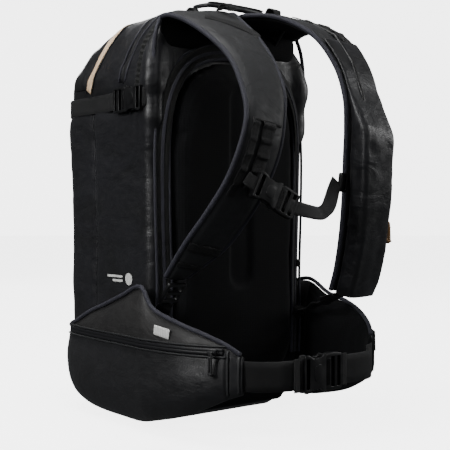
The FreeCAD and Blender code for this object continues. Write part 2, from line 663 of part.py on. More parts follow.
def upright_tape(route, level):
    """A run of side webbing standing on edge along a route of (x, y) points."""
    wide, half = size("side_webbing"), size("webbing_thick") / 2
    line = Part.BSplineCurve()
    line.interpolate([Vector(x, y, level - wide / 2) for x, y in route])
    sides = ([], [])
    count = 4 * len(route)
    for i in range(count):
        t = line.FirstParameter + (line.LastParameter - line.FirstParameter) * i / (count - 1)
        aside = line.tangent(t)[0].cross(EZ).normalize() * half
        sides[0].append(line.value(t) + aside)
        sides[1].append(line.value(t) - aside)
    edges = []
    for points in sides:
        curve = Part.BSplineCurve()
        curve.interpolate(points)
        edges.append(curve.toShape())
    edges.append(Part.makeLine(sides[0][0], sides[1][0]))
    edges.append(Part.makeLine(sides[0][-1], sides[1][-1]))
    outline = Part.Wire(Part.__sortEdges__(edges))
    return Part.Face(outline).extrude(EZ * wide)


def tape_through(name, points, across, width, inward):
    """A run of webbing of one width through points, its width lying along across."""
    half = Vector(across).normalize() * (width / 2)
    band = Band([p - half for p in points], [p + half for p in points],
                [size("webbing_thick")] * len(points), inward)
    return feature(name, band.solid(0, band.last, 4 * len(points), 0.25))


def belt_fastening():
    """The belt webbing and its big buckle at the wearer's front."""
    reach = STANDARD_DEEP - DEEP - size("belt_front") + size("belt_buckle_thick") / 2
    mouth = Vector(-22, reach, size("belt_level"))
    buckle("hip_buckle", "belt_webbing", "belt_buckle_thick", "hip_socket_length", "hip_plug_length",
           placed(mouth, EX, EY * -1))
    socket_end = mouth.x - size("hip_socket_length") - 1
    plug_end = mouth.x + size("buckle_play") + size("hip_plug_length") + 1
    right = [fitted(-122.5, -286.5), fitted(-113, -300), fitted(-98, -311), fitted(-80, -317)]
    belt_tape("belt_webbing_right", right + [Vector(socket_end, reach, 0)])
    left = [fitted(76, reach + 8), fitted(97, reach + 28), fitted(110, -276), fitted(131.5, -266.5)]
    for point in left[:2]:
        point.y = point.y + DEEP - STANDARD_DEEP
    belt_tape("belt_webbing_left", [Vector(plug_end, reach, 0), Vector(44, reach - 1, 0)] + left)


SIDE_MOUTH = BACK + 42


def side_straps():
    """The compression strap round the front of the bag, with a side release buckle at either end."""
    out = WIDE + size("side_buckle_thick") / 2 + 1.5
    level = size("side_strap_level")
    tabs = []
    for side, name in ((RIGHT, "right"), (LEFT, "left")):
        buckle(f"side_buckle_{name}", "side_webbing", "side_buckle_thick", "side_socket_length",
               "side_plug_length", placed(Vector(side * out, SIDE_MOUTH, level), EY, EX * side))
        tab_start = SIDE_MOUTH - size("side_socket_length") - 1
        tabs.append(upright_tape([(side * out, tab_start), (side * (out - 1), tab_start - 5),
                                  (side * (WIDE - 1), BACK - 4.5), (side * (WIDE - 8), BACK - 6.5)], level))
    feature("side_tabs", Part.makeCompound(tabs))
    plug_end = SIDE_MOUTH + size("buckle_play") + size("side_plug_length") + 1
    half_ring = [(out, plug_end), (WIDE + 4, plug_end + 30), (WIDE + 4, FRONT - 60), (WIDE + 3.5, FRONT - 36),
                 (WIDE - 1, FRONT - 14), (WIDE - 12, FRONT + 1), (WIDE - 32, FRONT + 7), (WIDE / 2, FRONT + 8)]
    route = [(-x, y) for x, y in half_ring] + [(0, FRONT + 8.5)] + half_ring[::-1]
    feature("compression_strap", upright_tape(route, level))


def sternum():
    """The chest strap: a clip beside each shoulder strap, a tilted buckle and a slack run of webbing."""
    clips = []
    for name, band, t, shift, rise in (("right", RIGHT_STRAP, 7.1, 8, 11.6), ("left", LEFT_STRAP, 6.6, 41, 0)):
        centre, across, normal, half = band.frame(t)
        down = normal.cross(across)
        clip = block(f"sternum_clip_{name}_blank", "-13", "13", "-7", "7", "-3", "3")
        clip = rounded_edges(f"sternum_clip_{name}_soft", clip, 2, runs_along(EX))
        eye = block(f"sternum_clip_{name}_eye", "-10", "10", "0.5", "3.5", "-4", "4")
        origin = centre + across * shift + normal * rise
        clip = cut(f"sternum_clip_{name}", clip, eye)
        clip.Placement = placed(origin, down, normal)
        clips.append(clip)
    keep(fuse("sternum_clips", *clips), "sternum_clips")
    left_end = origin + across * 11
    start, end = fitted(-104, -287, 325), fitted(-58, -294, 301)
    along = (end - start).normalize()
    normal = (EY * -1 - along * (EY * -1).dot(along)).normalize()
    mouth = start + along * size("small_socket_length")
    buckle("sternum_buckle", "small_webbing", "small_buckle_thick", "small_socket_length", "small_plug_length",
           placed(mouth, along, normal))
    plug_end = mouth + along * (size("buckle_play") + size("small_plug_length") + 1)
    across = normal.cross(along)
    tape_through("sternum_webbing", [plug_end, plug_end + along * 16 + EY * -2, fitted(-6, -299, 288),
                                     fitted(20, -294, 303), left_end + Vector(-12, -6, -9), left_end],
                 across, size("small_webbing"), Vector(0, 0, 300))


def lower_ends():
    """The ladder lock under each shoulder strap and the webbing from it to the foot of the back."""
    away = Vector(0, 0, 380)
    top, foot = fitted(-136, -163, 195), fitted(-137, -143, 171)
    along = (foot - top).normalize()
    ladder_lock("ladder_lock_right", placed(top, along, along.cross(EX) * -1))
    end = top + along * (size("ladder_length") - size("ladder_bar") / 2 + 1)
    edge = size("pad_width") / 2 + 11
    tape_through("lower_webbing_right", [end, end + Vector(5, 6, -5), Vector(-edge, BACK - 9, 156),
                                         Vector(-edge, BACK - 6, 142)], EX, size("small_webbing"), away)
    top, foot = fitted(115, -221, 174), fitted(118, -191, 165)
    along = (foot - top).normalize()
    ladder_lock("ladder_lock_left", placed(top, along, along.cross(EX) * -1))
    end = top + along * (size("ladder_length") - size("ladder_bar") / 2 + 1)
    tape_through("lower_webbing_left", [end, fitted(124, -168, 160), Vector(edge, BACK - 28, 154),
                                        Vector(edge, BACK - 9, 147), Vector(edge, BACK - 6, 132)],
                 EX, size("small_webbing"), away)


# ---------------------------------------------------------------- zip sliders

def zip_slider(name, at, along, normal, pull_down=None):
    """A zip slider at a point on its tape, with its pull hanging along pull_down if it has one."""
    long, wide, thick = "Dims.slider_length", "Dims.slider_width", "Dims.slider_thick"
    body = block(f"{name}_blank", f"-{long} / 2", f"{long} / 2", f"-{wide} / 2", f"{wide} / 2", "0", thick)
    body = rounded_edges(f"{name}_soft", body, 1.2, runs_along(EZ))
    lug = block(f"{name}_lug", "-2.5", "2.5", "-1.2", "1.2", f"{thick} - 0.5", f"{thick} + 1.6")
    keep(fuse(name, body, lug), name, placed(at, along, normal))
    if pull_down is None:
        return
    rise = size("slider_thick") + 2.4
    plate = block(f"{name}_plate", "0.4", "Dims.pull_length", "-Dims.pull_width / 2", "Dims.pull_width / 2",
                  "0", "Dims.pull_thick")
    plate = rounded_edges(f"{name}_plate_soft", plate, 1.8, runs_along(EZ))
    pull = name.replace("slider", "pull")
    flat = (pull_down - normal * pull_down.dot(normal)).normalize()
    keep(plate, pull, placed(at + normal * rise, flat, normal))


def sliders():
    """Every zip slider, each on its own zip."""
    tape_top = size("zip_thick") + 0.8
    centre_of_pack = Vector(0, -150, 100)
    for side, name, rows in ((RIGHT, "right", WING_RIGHT), (LEFT, "left", WING_LEFT)):
        wing = upright_band(rows, side, centre_of_pack)
        centre, across, normal, half = wing.frame(2.75)
        flat = Vector(normal.x, normal.y, 0).normalize()
        at = Vector(centre.x, centre.y, size("hip_zip_level")) + flat * (wing.thickness(2.75) / 2 + tape_top + 0.9)
        zip_slider(f"hip_slider_{name}", at, flat.cross(EZ) * side * -1, flat, EZ * -1)
    centre, across, normal, half = LEFT_STRAP.frame(7.6)
    rise = size("strap_thick") / 2 + size("pouch_gap") + size("pouch_deep") / 2
    at = centre + normal * rise - across * (half + size("zip_thick") + 1.4)
    zip_slider("pouch_slider", at, across.cross(normal), across * -1, EZ * -1)
    back = Vector(size("pad_width") / 2 + size("band_width") / 2 + 0.5,
                  BACK - size("soft_gap") - size("band_thick") - 0.5, 215)
    zip_slider("back_slider", back, EZ, EY * -1)
    for name, foot, head in (("front_slider", size("flap_foot") - size("flap_gap") - size("zip_width") / 2,
                              size("flap_head") - size("flap_gap") - size("zip_width") / 2),
                             ("airbag_slider", size("airbag_zip_foot") + size("zip_width") / 2,
                              size("airbag_zip_head") + size("zip_width") / 2)):
        rise = Vector(0, head - foot, TALL - size("flap_sill")).normalize()
        at = Vector(WIDE + size("zip_thick") + 0.8, foot, size("flap_sill")) + rise * 12
        zip_slider(name, at, rise, EX)


# ---------------------------------------------------------------- grab handle and labels

def grab_handle():
    """The carrying loop that lies flat over the top of the back, between two sewn cheeks."""
    thick, span, reach = "Dims.handle_section", "Dims.handle_span", "Dims.handle_reach"
    root, level = "(-Dims.pack_depth / 2 + 16)", "(Dims.pack_height + 8)"
    outer = block("handle_outside", f"-{span} / 2", f"{span} / 2", f"{root} - {reach} - 2", root,
                  f"{level} - {thick} / 2", f"{level} + {thick} / 2")
    outer = rounded_edges("handle_outside_soft", outer, 3.8, runs_along(EX))
    inner = block("handle_inside", f"-{span} / 2 + {thick}", f"{span} / 2 - {thick}",
                  f"{root} - {reach} + {thick}", f"{root} + 5", f"{level} - 20", f"{level} + 20")
    keep(cut("grab_handle", outer, inner), "grab_handle")
    cheeks = []
    for name, low, high in (("left", f"{span} / 2 + 0.8", f"{span} / 2 + 6.8"),
                            ("right", f"-{span} / 2 - 6.8", f"-{span} / 2 - 0.8")):
        cheek = block(f"cheek_{name}", low, high, f"{root} - 12", f"{root} + 4",
                      "Dims.pack_height + 0.4", f"{level} + 3")
        cheeks.append(rounded_edges(f"cheek_{name}_soft", cheek, 2, runs_along(EZ)))
    keep(fuse("handle_cheeks", *cheeks), "handle_cheeks")


def label():
    """A plain woven label on the right wing."""
    wing = upright_band(WING_RIGHT, RIGHT, Vector(0, -150, 100))
    centre, across, normal, half = wing.frame(1.35)
    flat = Vector(normal.x, normal.y, 0).normalize()
    at = Vector(centre.x, centre.y, 138) + flat * (wing.thickness(1.35) / 2 + 1.2)
    tag = block("label_blank", "-12", "12", "-7", "7", "0", "0.8")
    keep(rounded_edges("woven_label", tag, 1, runs_along(EZ)), "woven_label",
         placed(at, EZ.cross(flat), flat))


# ---------------------------------------------------------------- airbag system

CABLE_X, LEVER_X = 84, 82
HEAD_X, BOTTLE_Y = 58, -62
PIVOT = Vector(LEVER_X, -50, 438)
CABLE = [fitted(CABLE_X, -299, 422), fitted(CABLE_X, -291, 452), fitted(CABLE_X, -273, 498),
         fitted(CABLE_X, -240, 540), fitted(CABLE_X, -184, 569), fitted(CABLE_X, -141, 568),
         fitted(CABLE_X, -106, 533), Vector(CABLE_X, BACK + 32, 512), Vector(CABLE_X, BACK + 32, 468)]
CABLE_BEND = 14


def airbag_system():
    """Gas bottle, inflator head with its firing lever, outlet, folded airbag and the trigger handle."""
    neck_level = size("bottle_base") + size("bottle_length")
    body = rod("bottle_body", "Dims.bottle_diameter", "Dims.bottle_length",
               Vector(HEAD_X, BOTTLE_Y, size("bottle_base")), EZ)
    soft = doc.addObject("Part::Fillet", "bottle_soft")
    doc.recompute()
    soft.Base = body
    soft.Edges = [(i + 1, 18, 18) for i, e in enumerate(body.Shape.Edges) if len(e.Vertexes) == 1]
    neck = rod("bottle_neck", "Dims.neck_diameter", "Dims.neck_length + 4",
               Vector(HEAD_X, BOTTLE_Y, neck_level - 4), EZ)
    keep(fuse("gas_bottle", soft, neck), "gas_bottle")

    head_level = neck_level + size("neck_length")
    half = "Dims.head_size / 2"
    blank = block("head_blank", f"{HEAD_X} - {half}", f"{HEAD_X} + {half}", f"{BOTTLE_Y} - {half}",
                  f"{BOTTLE_Y} + {half}", "Dims.bottle_base + Dims.bottle_length + Dims.neck_length",
                  "Dims.bottle_base + Dims.bottle_length + Dims.neck_length + Dims.head_height")
    blank = rounded_edges("head_soft", blank, 8, runs_along(EZ))
    pin_base = PIVOT - EX * 9
    top = head_level + size("head_height")
    outlet = rod("outlet_tube", "Dims.outlet_diameter", "22", Vector(HEAD_X - 6, BOTTLE_Y, top - 4), EZ)
    keep(cut("inflator_head", fuse("head_and_outlet", blank, outlet),
             rod("pin_seat", "Dims.pin_diameter", "40", pin_base, EX)), "inflator_head")
    keep(rod("lever_pin", "Dims.pin_diameter", "Dims.lever_thick + 12", pin_base, EX), "lever_pin")

    lever = block("lever_blank", "-5", "Dims.lever_length", "-Dims.lever_width / 2", "Dims.lever_width / 2",
                  "0", "Dims.lever_thick")
    lever = rounded_edges("lever_soft", lever, 3.5, runs_along(EZ))
    eye = rod("lever_eye", "Dims.pin_diameter + 2 * Dims.pin_play", "30", EZ * -10, EZ)
    keep(cut("firing_lever", lever, eye), "firing_lever", placed(PIVOT, Vector(0, -0.8, 0.6), EX))

    airbag = block("airbag_blank", "-118", "76", "-Dims.pack_depth / 2 + 10", "-42", f"{top + 18.5}",
                   f"{top + 76}")
    keep(rounded_edges("airbag_folded", airbag, 22, runs_along(EX)), "airbag_folded")

    grip_top, grip = fitted(93, -299.5, 400), "Dims.trigger_length"
    handle = block("trigger_blank", "0", grip, "-Dims.trigger_width / 2", "Dims.trigger_width / 2",
                   "-Dims.trigger_thick / 2", "Dims.trigger_thick / 2")
    keep(rounded_edges("trigger_handle", handle, 6, runs_along(EX)), "trigger_handle",
         placed(grip_top, EZ * -1, EY * -1))


def bottle_strap():
    """The webbing hoop that holds the gas bottle to the frame."""
    hoop = rod("hoop_outside", "Dims.bottle_diameter + 4.6", "Dims.small_webbing",
               Vector(HEAD_X, BOTTLE_Y, size("bottle_base") + 90), EZ)
    bore = rod("hoop_inside", "Dims.bottle_diameter + 0.8", "60",
               Vector(HEAD_X, BOTTLE_Y, size("bottle_base") + 70), EZ)
    keep(cut("bottle_strap", hoop, bore), "bottle_strap")


cable, cable_length = tube(CABLE, CABLE_BEND, size("cable_diameter") / 2)
cable_hole = tube(CABLE, CABLE_BEND, size("cable_diameter") / 2 + size("cable_play"))[0]
expected = math.pi * (size("cable_diameter") / 2) ** 2 * cable_length
if abs(cable.Volume - expected) > expected * 0.01:
    raise ValueError("the cable's volume does not match its section times its length")
print(f"trigger cable: length {cable_length:.1f} mm, bends of {CABLE_BEND} mm radius")

bag_pieces(cable_hole)
back_panel()
yoke(cable_hole)
hip_belt()
belt_fastening()
side_straps()
straps(cable_hole)
trigger_pouch(cable_hole)
sternum()
lower_ends()
sliders()
grab_handle()
label()
airbag_system()
bottle_strap()
feature("trigger_cable", cable)
write_parts()
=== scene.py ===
import bmesh
import bpy
import json
import math
from mathutils import Matrix, Vector, noise
from mathutils.bvhtree import BVHTree


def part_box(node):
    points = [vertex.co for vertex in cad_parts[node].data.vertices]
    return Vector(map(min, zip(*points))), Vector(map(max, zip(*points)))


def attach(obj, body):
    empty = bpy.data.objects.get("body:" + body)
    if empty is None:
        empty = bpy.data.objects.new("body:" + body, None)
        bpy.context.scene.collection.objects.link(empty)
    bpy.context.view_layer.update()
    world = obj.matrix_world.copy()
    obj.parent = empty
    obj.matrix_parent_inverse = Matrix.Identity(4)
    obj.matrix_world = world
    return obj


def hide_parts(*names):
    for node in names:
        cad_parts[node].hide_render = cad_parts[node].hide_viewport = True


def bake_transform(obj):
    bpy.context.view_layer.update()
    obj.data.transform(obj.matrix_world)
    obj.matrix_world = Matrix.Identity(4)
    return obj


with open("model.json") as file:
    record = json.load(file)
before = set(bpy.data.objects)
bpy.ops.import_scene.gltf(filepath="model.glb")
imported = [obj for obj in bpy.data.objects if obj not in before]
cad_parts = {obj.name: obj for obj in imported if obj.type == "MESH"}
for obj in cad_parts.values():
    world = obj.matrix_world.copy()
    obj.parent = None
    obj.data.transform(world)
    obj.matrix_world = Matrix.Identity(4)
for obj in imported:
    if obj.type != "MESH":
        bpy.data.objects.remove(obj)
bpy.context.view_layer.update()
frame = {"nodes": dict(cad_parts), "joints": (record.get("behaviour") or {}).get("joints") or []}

# ---------------------------------------------------------------- lengths
# Shapes are written in millimetres and made in metres.
MM = 0.001
RIGHT, LEFT = -1, 1          # the wearer's right is -X


def corner(name, which):
    """One corner of a CAD node's box, in millimetres."""
    return Vector(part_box(name)[which]) / MM


# ---------------------------------------------------------------- camera
# The camera stands level, behind the back panel and to the wearer's right.
TURN = math.radians(-40)
STAND_BACK, STAND_ASIDE, EYE_LEVEL = 1500, 64, 285
LENS, SENSOR = 78.0, 36.0
HORIZON_SHIFT = -8 / 450


def make_camera():
    data = bpy.data.cameras.new("camera")
    camera = bpy.data.objects.new("camera", data)
    bpy.context.scene.collection.objects.link(camera)
    aside = Vector((math.cos(TURN), math.sin(TURN), 0))
    ahead = Vector((-math.sin(TURN), math.cos(TURN), 0))
    camera.location = (aside * STAND_ASIDE - ahead * STAND_BACK + Vector((0, 0, EYE_LEVEL))) * MM
    camera.rotation_euler = (math.pi / 2, 0, TURN)
    data.lens, data.sensor_width, data.shift_y = LENS, SENSOR, HORIZON_SHIFT
    data.clip_start, data.clip_end = 0.05, 50
    bpy.context.scene.camera = camera


make_camera()

# ---------------------------------------------------------------- materials


def hex_colour(text):
    """An sRGB hex colour as linear values."""
    values = [int(text[i:i + 2], 16) / 255 for i in (1, 3, 5)]
    return [v / 12.92 if v <= 0.04045 else ((v + 0.055) / 1.055) ** 2.4 for v in values] + [1.0]


class Surface:
    """A material being built, with one way to add a node: its kind, its settings and its links."""

    def __init__(self, name, roughness, metallic=0.0, sheen=0.0, coat=0.0, specular=0.5):
        self.material = bpy.data.materials.new(name)
        self.material.use_nodes = True
        self.tree = self.material.node_tree
        self.shader = self.tree.nodes["Principled BSDF"]
        settings = {"Roughness": roughness, "Metallic": metallic, "Sheen Weight": sheen, "Coat Weight": coat,
                    "Specular IOR Level": specular}
        for socket, value in settings.items():
            self.shader.inputs[socket].default_value = value

    def node(self, kind, links=None, **settings):
        """Adds a node; links maps an input's name or number to a value or to another node's output."""
        made = self.tree.nodes.new("ShaderNode" + kind)
        for key, value in settings.items():
            setattr(made, key, value)
        for key, value in (links or {}).items():
            if isinstance(value, bpy.types.NodeSocket):
                self.tree.links.new(value, made.inputs[key])
            else:
                made.inputs[key].default_value = value
        return made

    def place(self, which, scale):
        """Coordinates in units of the pattern, from the object's own space or from its UV map."""
        coordinate = self.node("TexCoord").outputs[which]
        return self.node("Mapping", {"Vector": coordinate, "Scale": scale}).outputs[0]

    def ramp(self, factor, low, high, dark, light):
        """A colour between two, as factor goes from low to high."""
        made = self.node("ValToRGB", {"Fac": factor})
        stops = made.color_ramp.elements
        stops[0].position, stops[0].color = low, hex_colour(dark)
        stops[1].position, stops[1].color = high, hex_colour(light)
        return made.outputs["Color"]

    def range(self, value, low, high, to_low, to_high):
        """A value moved from one range to another."""
        return self.node("MapRange", {0: value, 1: low, 2: high, 3: to_low, 4: to_high}).outputs[0]

    def finish(self, colour=None, roughness=None, heights=()):
        """Links colour, roughness and a chain of bumps: each a height, a depth in mm and a strength."""
        if colour is not None:
            self.tree.links.new(colour, self.shader.inputs["Base Color"])
        if roughness is not None:
            self.tree.links.new(roughness, self.shader.inputs["Roughness"])
        normal = None
        for height, depth, strength in heights:
            links = {"Height": height, "Distance": depth * MM, "Strength": strength}
            if normal is not None:
                links["Normal"] = normal
            normal = self.node("Bump", links).outputs[0]
        if normal is not None:
            self.tree.links.new(normal, self.shader.inputs["Normal"])
        return self.material


def per_mm(*sizes):
    """Mapping scale for a pattern whose repeat is so many millimetres along each axis."""
    values = [1 / (s * MM) for s in sizes]
    return values * 3 if len(values) == 1 else values


def woven_nylon(name, dark, light, roughness=0.42, sheen=0.04):
    """Coated 210-denier nylon: a satin weave with soft creases, painted darker in the crease hollows as
    painted shade and lighter on the crease ridges as painted highlight.

    The threads are 0.4 mm apart, too fine to show, so the ripstop grid is drawn 4 mm apart.
    """
    s = Surface(name, roughness, sheen=sheen)
    grid = s.place("Object", per_mm(4.0))
    weave = s.node("TexBrick", {"Vector": s.place("Object", per_mm(1.4)), "Mortar Size": 0.08, "Scale": 1.0,
                                "Color1": (1, 1, 1, 1), "Color2": (0.8, 0.8, 0.8, 1), "Mortar": (0, 0, 0, 1)})
    creases = s.node("TexNoise",
                     {"Vector": s.place("Object", per_mm(55, 90, 38)), "Scale": 1.0, "Detail": 5.0,
                                  "Roughness": 0.55, "Distortion": 0.8})
    fine = s.node("TexNoise", {"Vector": s.place("Object", per_mm(9, 14, 8)), "Scale": 1.0, "Detail": 3.0})
    ripstop = s.node("TexVoronoi", {"Vector": grid, "Scale": 1.0, "Randomness": 0.0}, distance="CHEBYCHEV")
    # painted shade and highlight: the colour follows the crease height, darker in the crease hollows and
    # lighter on the ridges
    colour = s.ramp(creases.outputs["Fac"], 0.35, 0.72, dark, light)
    gloss = s.range(fine.outputs["Fac"], 0.3, 0.7, roughness - 0.07, roughness + 0.1)
    return s.finish(colour, gloss, [(creases.outputs["Fac"], 5.0, 0.5), (fine.outputs["Fac"], 0.9, 0.35),
                                    (ripstop.outputs["Distance"], 0.12, 0.3),
                                    (weave.outputs["Color"], 0.06, 0.3)])


def spacer_mesh(name, dark, light, cell=3.2):
    """Knitted spacer mesh over foam: matte, with a honeycomb of open cells about 3 mm across."""
    s = Surface(name, 0.9, sheen=0.05, specular=0.15)
    cells = s.node("TexVoronoi", {"Vector": s.place("Object", per_mm(cell, cell, cell)), "Scale": 1.0,
                                  "Randomness": 0.25})
    cloud = s.node("TexNoise", {"Vector": s.place("Object", per_mm(60)), "Scale": 1.0, "Detail": 3.0})
    mix = s.node("Mix", {"Factor": 0.35, "A": cells.outputs["Distance"], "B": cloud.outputs["Fac"]})
    # painted shade: the colour mostly follows the cells' height, darker in the hollows of the open cells and
    # lighter on the knit between them
    colour = s.ramp(mix.outputs[0], 0.25, 0.7, dark, light)
    return s.finish(colour, None, [(cells.outputs["Distance"], 0.5, 0.45), (cloud.outputs["Fac"], 2.0, 0.3)])


def ribbed_webbing(name, dark, light, rib=1.5, along="UV"):
    """Woven polyester webbing: ribs across its length 1.5 mm apart and a twill line along it."""
    s = Surface(name, 0.62, sheen=0.05, specular=0.3)
    ribs = s.node("TexWave", {"Vector": s.place(along, per_mm(rib * 6.28, 1000, 1000)), "Scale": 6.28,
                              "Distortion": 0.4, "Detail": 1.0}, bands_direction="X")
    twill = s.node("TexWave", {"Vector": s.place(along, per_mm(9, 9, 9)), "Scale": 3.0},
                   bands_direction="DIAGONAL")
    worn = s.node("TexNoise", {"Vector": s.place(along, per_mm(14)), "Scale": 1.0, "Detail": 4.0})
    mix = s.node("Mix", {"Factor": 0.5, "A": ribs.outputs["Fac"], "B": worn.outputs["Fac"]})
    # painted shade: half the colour follows the ribs' height, darker in the troughs between the ribs; the
    # other half is random worn tone
    colour = s.ramp(mix.outputs[0], 0.2, 0.8, dark, light)
    return s.finish(colour, None, [(ribs.outputs["Fac"], 0.35, 0.6), (twill.outputs["Fac"], 0.1, 0.4)])


def moulded_acetal(name, colour_dark, colour_light, roughness=0.34):
    """Injection-moulded acetal: semi-gloss, with a faint sparked texture and soft scuffs."""
    s = Surface(name, roughness, specular=0.5)
    grain = s.node("TexNoise", {"Vector": s.place("Object", per_mm(1.2)), "Scale": 1.0, "Detail": 2.0})
    scuff = s.node("TexNoise", {"Vector": s.place("Object", per_mm(22, 8, 15)), "Scale": 1.0, "Detail": 5.0})
    colour = s.ramp(scuff.outputs["Fac"], 0.4, 0.75, colour_dark, colour_light)
    gloss = s.range(scuff.outputs["Fac"], 0.3, 0.8, roughness - 0.06, roughness + 0.14)
    return s.finish(colour, gloss, [(grain.outputs["Fac"], 0.08, 0.25)])


def coated_tape(name, dark, light, roughness=0.5, along="UV"):
    """Polyurethane-coated zip tape with the coil hidden behind it: a seam down the middle, fine twill."""
    s = Surface(name, roughness, specular=0.4)
    across = s.node("SeparateXYZ", {0: s.node("TexCoord").outputs[along]}).outputs[1]
    seam = s.node("Math", {0: across}, operation="ABSOLUTE").outputs[0]
    lip = s.range(seam, 0.0, 0.0012, 0.0, 1.0)
    twill = s.node("TexWave", {"Vector": s.place(along, per_mm(7, 7, 7)), "Scale": 3.0},
                   bands_direction="DIAGONAL")
    cloud = s.node("TexNoise", {"Vector": s.place(along, per_mm(18, 6, 6)), "Scale": 1.0, "Detail": 3.0})
    mix = s.node("Mix", {"Factor": 0.55, "A": lip, "B": cloud.outputs["Fac"]})
    # painted shade: the colour is darker along the seam down the middle, in the groove that the bump sinks
    # there
    colour = s.ramp(mix.outputs[0], 0.1, 0.75, dark, light)
    return s.finish(colour, None, [(lip, 0.7, 0.8), (twill.outputs["Fac"], 0.08, 0.4)])


def braided_cord(name, dark, light):
    """Braided polyester cord: two sets of yarns crossing about every 2 mm."""
    s = Surface(name, 0.7, sheen=0.1)
    one = s.node("TexWave", {"Vector": s.place("Object", per_mm(7)), "Scale": 3.0, "Distortion": 1.0},
                 bands_direction="DIAGONAL")
    fuzz = s.node("TexNoise", {"Vector": s.place("Object", per_mm(2.5)), "Scale": 1.0, "Detail": 3.0})
    mix = s.node("Mix", {"Factor": 0.5, "A": one.outputs["Fac"], "B": fuzz.outputs["Fac"]})
    # painted shade: half the colour follows the braid's height, darker in the grooves between the yarns
    colour = s.ramp(mix.outputs[0], 0.2, 0.8, dark, light)
    return s.finish(colour, None, [(one.outputs["Fac"], 0.5, 0.6)])


def metal(name, dark, light, roughness, grain=(0.6, 0.6, 12.0)):
    """Bare or anodised metal with fine drawn or turned lines and faint smudges."""
    s = Surface(name, roughness, metallic=1.0)
    lines = s.node("TexNoise", {"Vector": s.place("Object", per_mm(*grain)), "Scale": 1.0, "Detail": 4.0})
    smudge = s.node("TexNoise", {"Vector": s.place("Object", per_mm(18)), "Scale": 1.0, "Detail": 3.0})
    colour = s.ramp(smudge.outputs["Fac"], 0.3, 0.7, dark, light)
    gloss = s.range(smudge.outputs["Fac"], 0.3, 0.7, roughness - 0.08, roughness + 0.08)
    return s.finish(colour, gloss, [(lines.outputs["Fac"], 0.05, 0.3)])


def enamel(name, dark, light, roughness=0.3):
    """Baked paint on metal, with orange peel about 2 mm across and a clear top coat."""
    s = Surface(name, roughness, coat=0.5)
    peel = s.node("TexNoise", {"Vector": s.place("Object", per_mm(2.0)), "Scale": 1.0, "Detail": 1.0})
    chips = s.node("TexNoise", {"Vector": s.place("Object", per_mm(9)), "Scale": 1.0, "Detail": 6.0})
    colour = s.ramp(chips.outputs["Fac"], 0.3, 0.75, dark, light)
    return s.finish(colour, None, [(peel.outputs["Fac"], 0.06, 0.3)])


FINISH = {
    "shell_fabric": woven_nylon("satin_ripstop_nylon", "#0a0a0d", "#15151a"),
    "flap_fabric": woven_nylon("satin_ripstop_nylon_flap", "#0b0b0d", "#17171b"),
    "wing_fabric": woven_nylon("brushed_nylon_over_foam", "#141313", "#201f1e", roughness=0.55),
    "pocket_fabric": woven_nylon("pocket_nylon", "#0e0e10", "#19191c", roughness=0.48),
    "pad_fabric": spacer_mesh("knitted_spacer_mesh", "#060607", "#101113"),
    "band_fabric": ribbed_webbing("grosgrain_zip_band", "#0e0e0e", "#1c1d1b", rib=2.0),
    "tan_zip": coated_tape("cream_coated_zip_tape", "#c79b6d", "#f3d3ae"),
    "dark_zip": coated_tape("black_coated_zip_tape", "#070708", "#131316"),
    "strap_fabric": woven_nylon("strap_facing_nylon", "#101113", "#1b1c1e", roughness=0.6),
    # painted highlight: the piping's colours are set lighter than the cloth's to stand for the rim light on
    # the strap and pad edges
    "piping": ribbed_webbing("bound_piping_tape_painted_highlight", "#24242b", "#3a3a44", rib=2.2, along="Object"),
    "webbing": ribbed_webbing("polyester_webbing", "#070708", "#141415"),
    "buckle_plastic": moulded_acetal("moulded_black_acetal", "#060607", "#121213"),
    "slider_metal": enamel("black_enamelled_zinc", "#0a0a0b", "#1d1d1f"),
    "tan_pull": braided_cord("tan_braided_cord", "#a9773f", "#e0b88a"),
    "dark_pull": braided_cord("black_braided_cord", "#060607", "#17171a"),
    "label": ribbed_webbing("white_woven_label", "#c9c9c6", "#f1f1ee", rib=0.9, along="Object"),
    "print": moulded_acetal("white_screen_print", "#d9d9d6", "#f4f4f1", roughness=0.6),
    "frame_plastic": moulded_acetal("polyethylene_sheet", "#2b2b2c", "#3a3a3b", roughness=0.5),
    "stay_metal": metal("extruded_aluminium", "#b5b7ba", "#d5d7da", 0.35),
    "bottle_metal": enamel("grey_enamelled_bottle", "#8f9499", "#b4b9bd"),
    "head_metal": metal("anodised_aluminium", "#55585c", "#74787d", 0.32, (8.0, 0.6, 0.6)),
    "steel": metal("ground_stainless_steel", "#a3a5a8", "#c3c5c8", 0.28),
    "airbag_fabric": woven_nylon("orange_airbag_nylon", "#b0430c", "#e0661c", roughness=0.5),
    "trigger_plastic": moulded_acetal("moulded_red_acetal", "#a30f0c", "#c81d17", roughness=0.28),
    "cable_cover": moulded_acetal("black_cable_housing", "#070707", "#151515", roughness=0.42),
}


# ---------------------------------------------------------------- making meshes


def add_piece(name, vertices, faces, finish, body, uv=None):
    """A smooth-shaded mesh from points in millimetres, on one body, or on none."""
    mesh = bpy.data.meshes.new(name)
    mesh.from_pydata([Vector(v) * MM for v in vertices], [], faces)
    if uv is not None:
        layer = mesh.uv_layers.new(name="UVMap")
        for loop in mesh.loops:
            layer.data[loop.index].uv = uv[loop.vertex_index]
    mesh.polygons.foreach_set("use_smooth", [True] * len(mesh.polygons))
    mesh.materials.append(FINISH[finish])
    piece = bpy.data.objects.new(name, mesh)
    bpy.context.scene.collection.objects.link(piece)
    fix_normals(piece)
    if body is not None:
        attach(piece, body)
    return piece


def fix_normals(piece):
    work = bmesh.new()
    work.from_mesh(piece.data)
    bmesh.ops.recalc_face_normals(work, faces=work.faces)
    work.to_mesh(piece.data)
    work.free()


def modify(piece, kind, **settings):
    """Adds one modifier with its settings."""
    made = piece.modifiers.new(kind.lower(), kind)
    for key, value in settings.items():
        setattr(made, key, value)
    return made


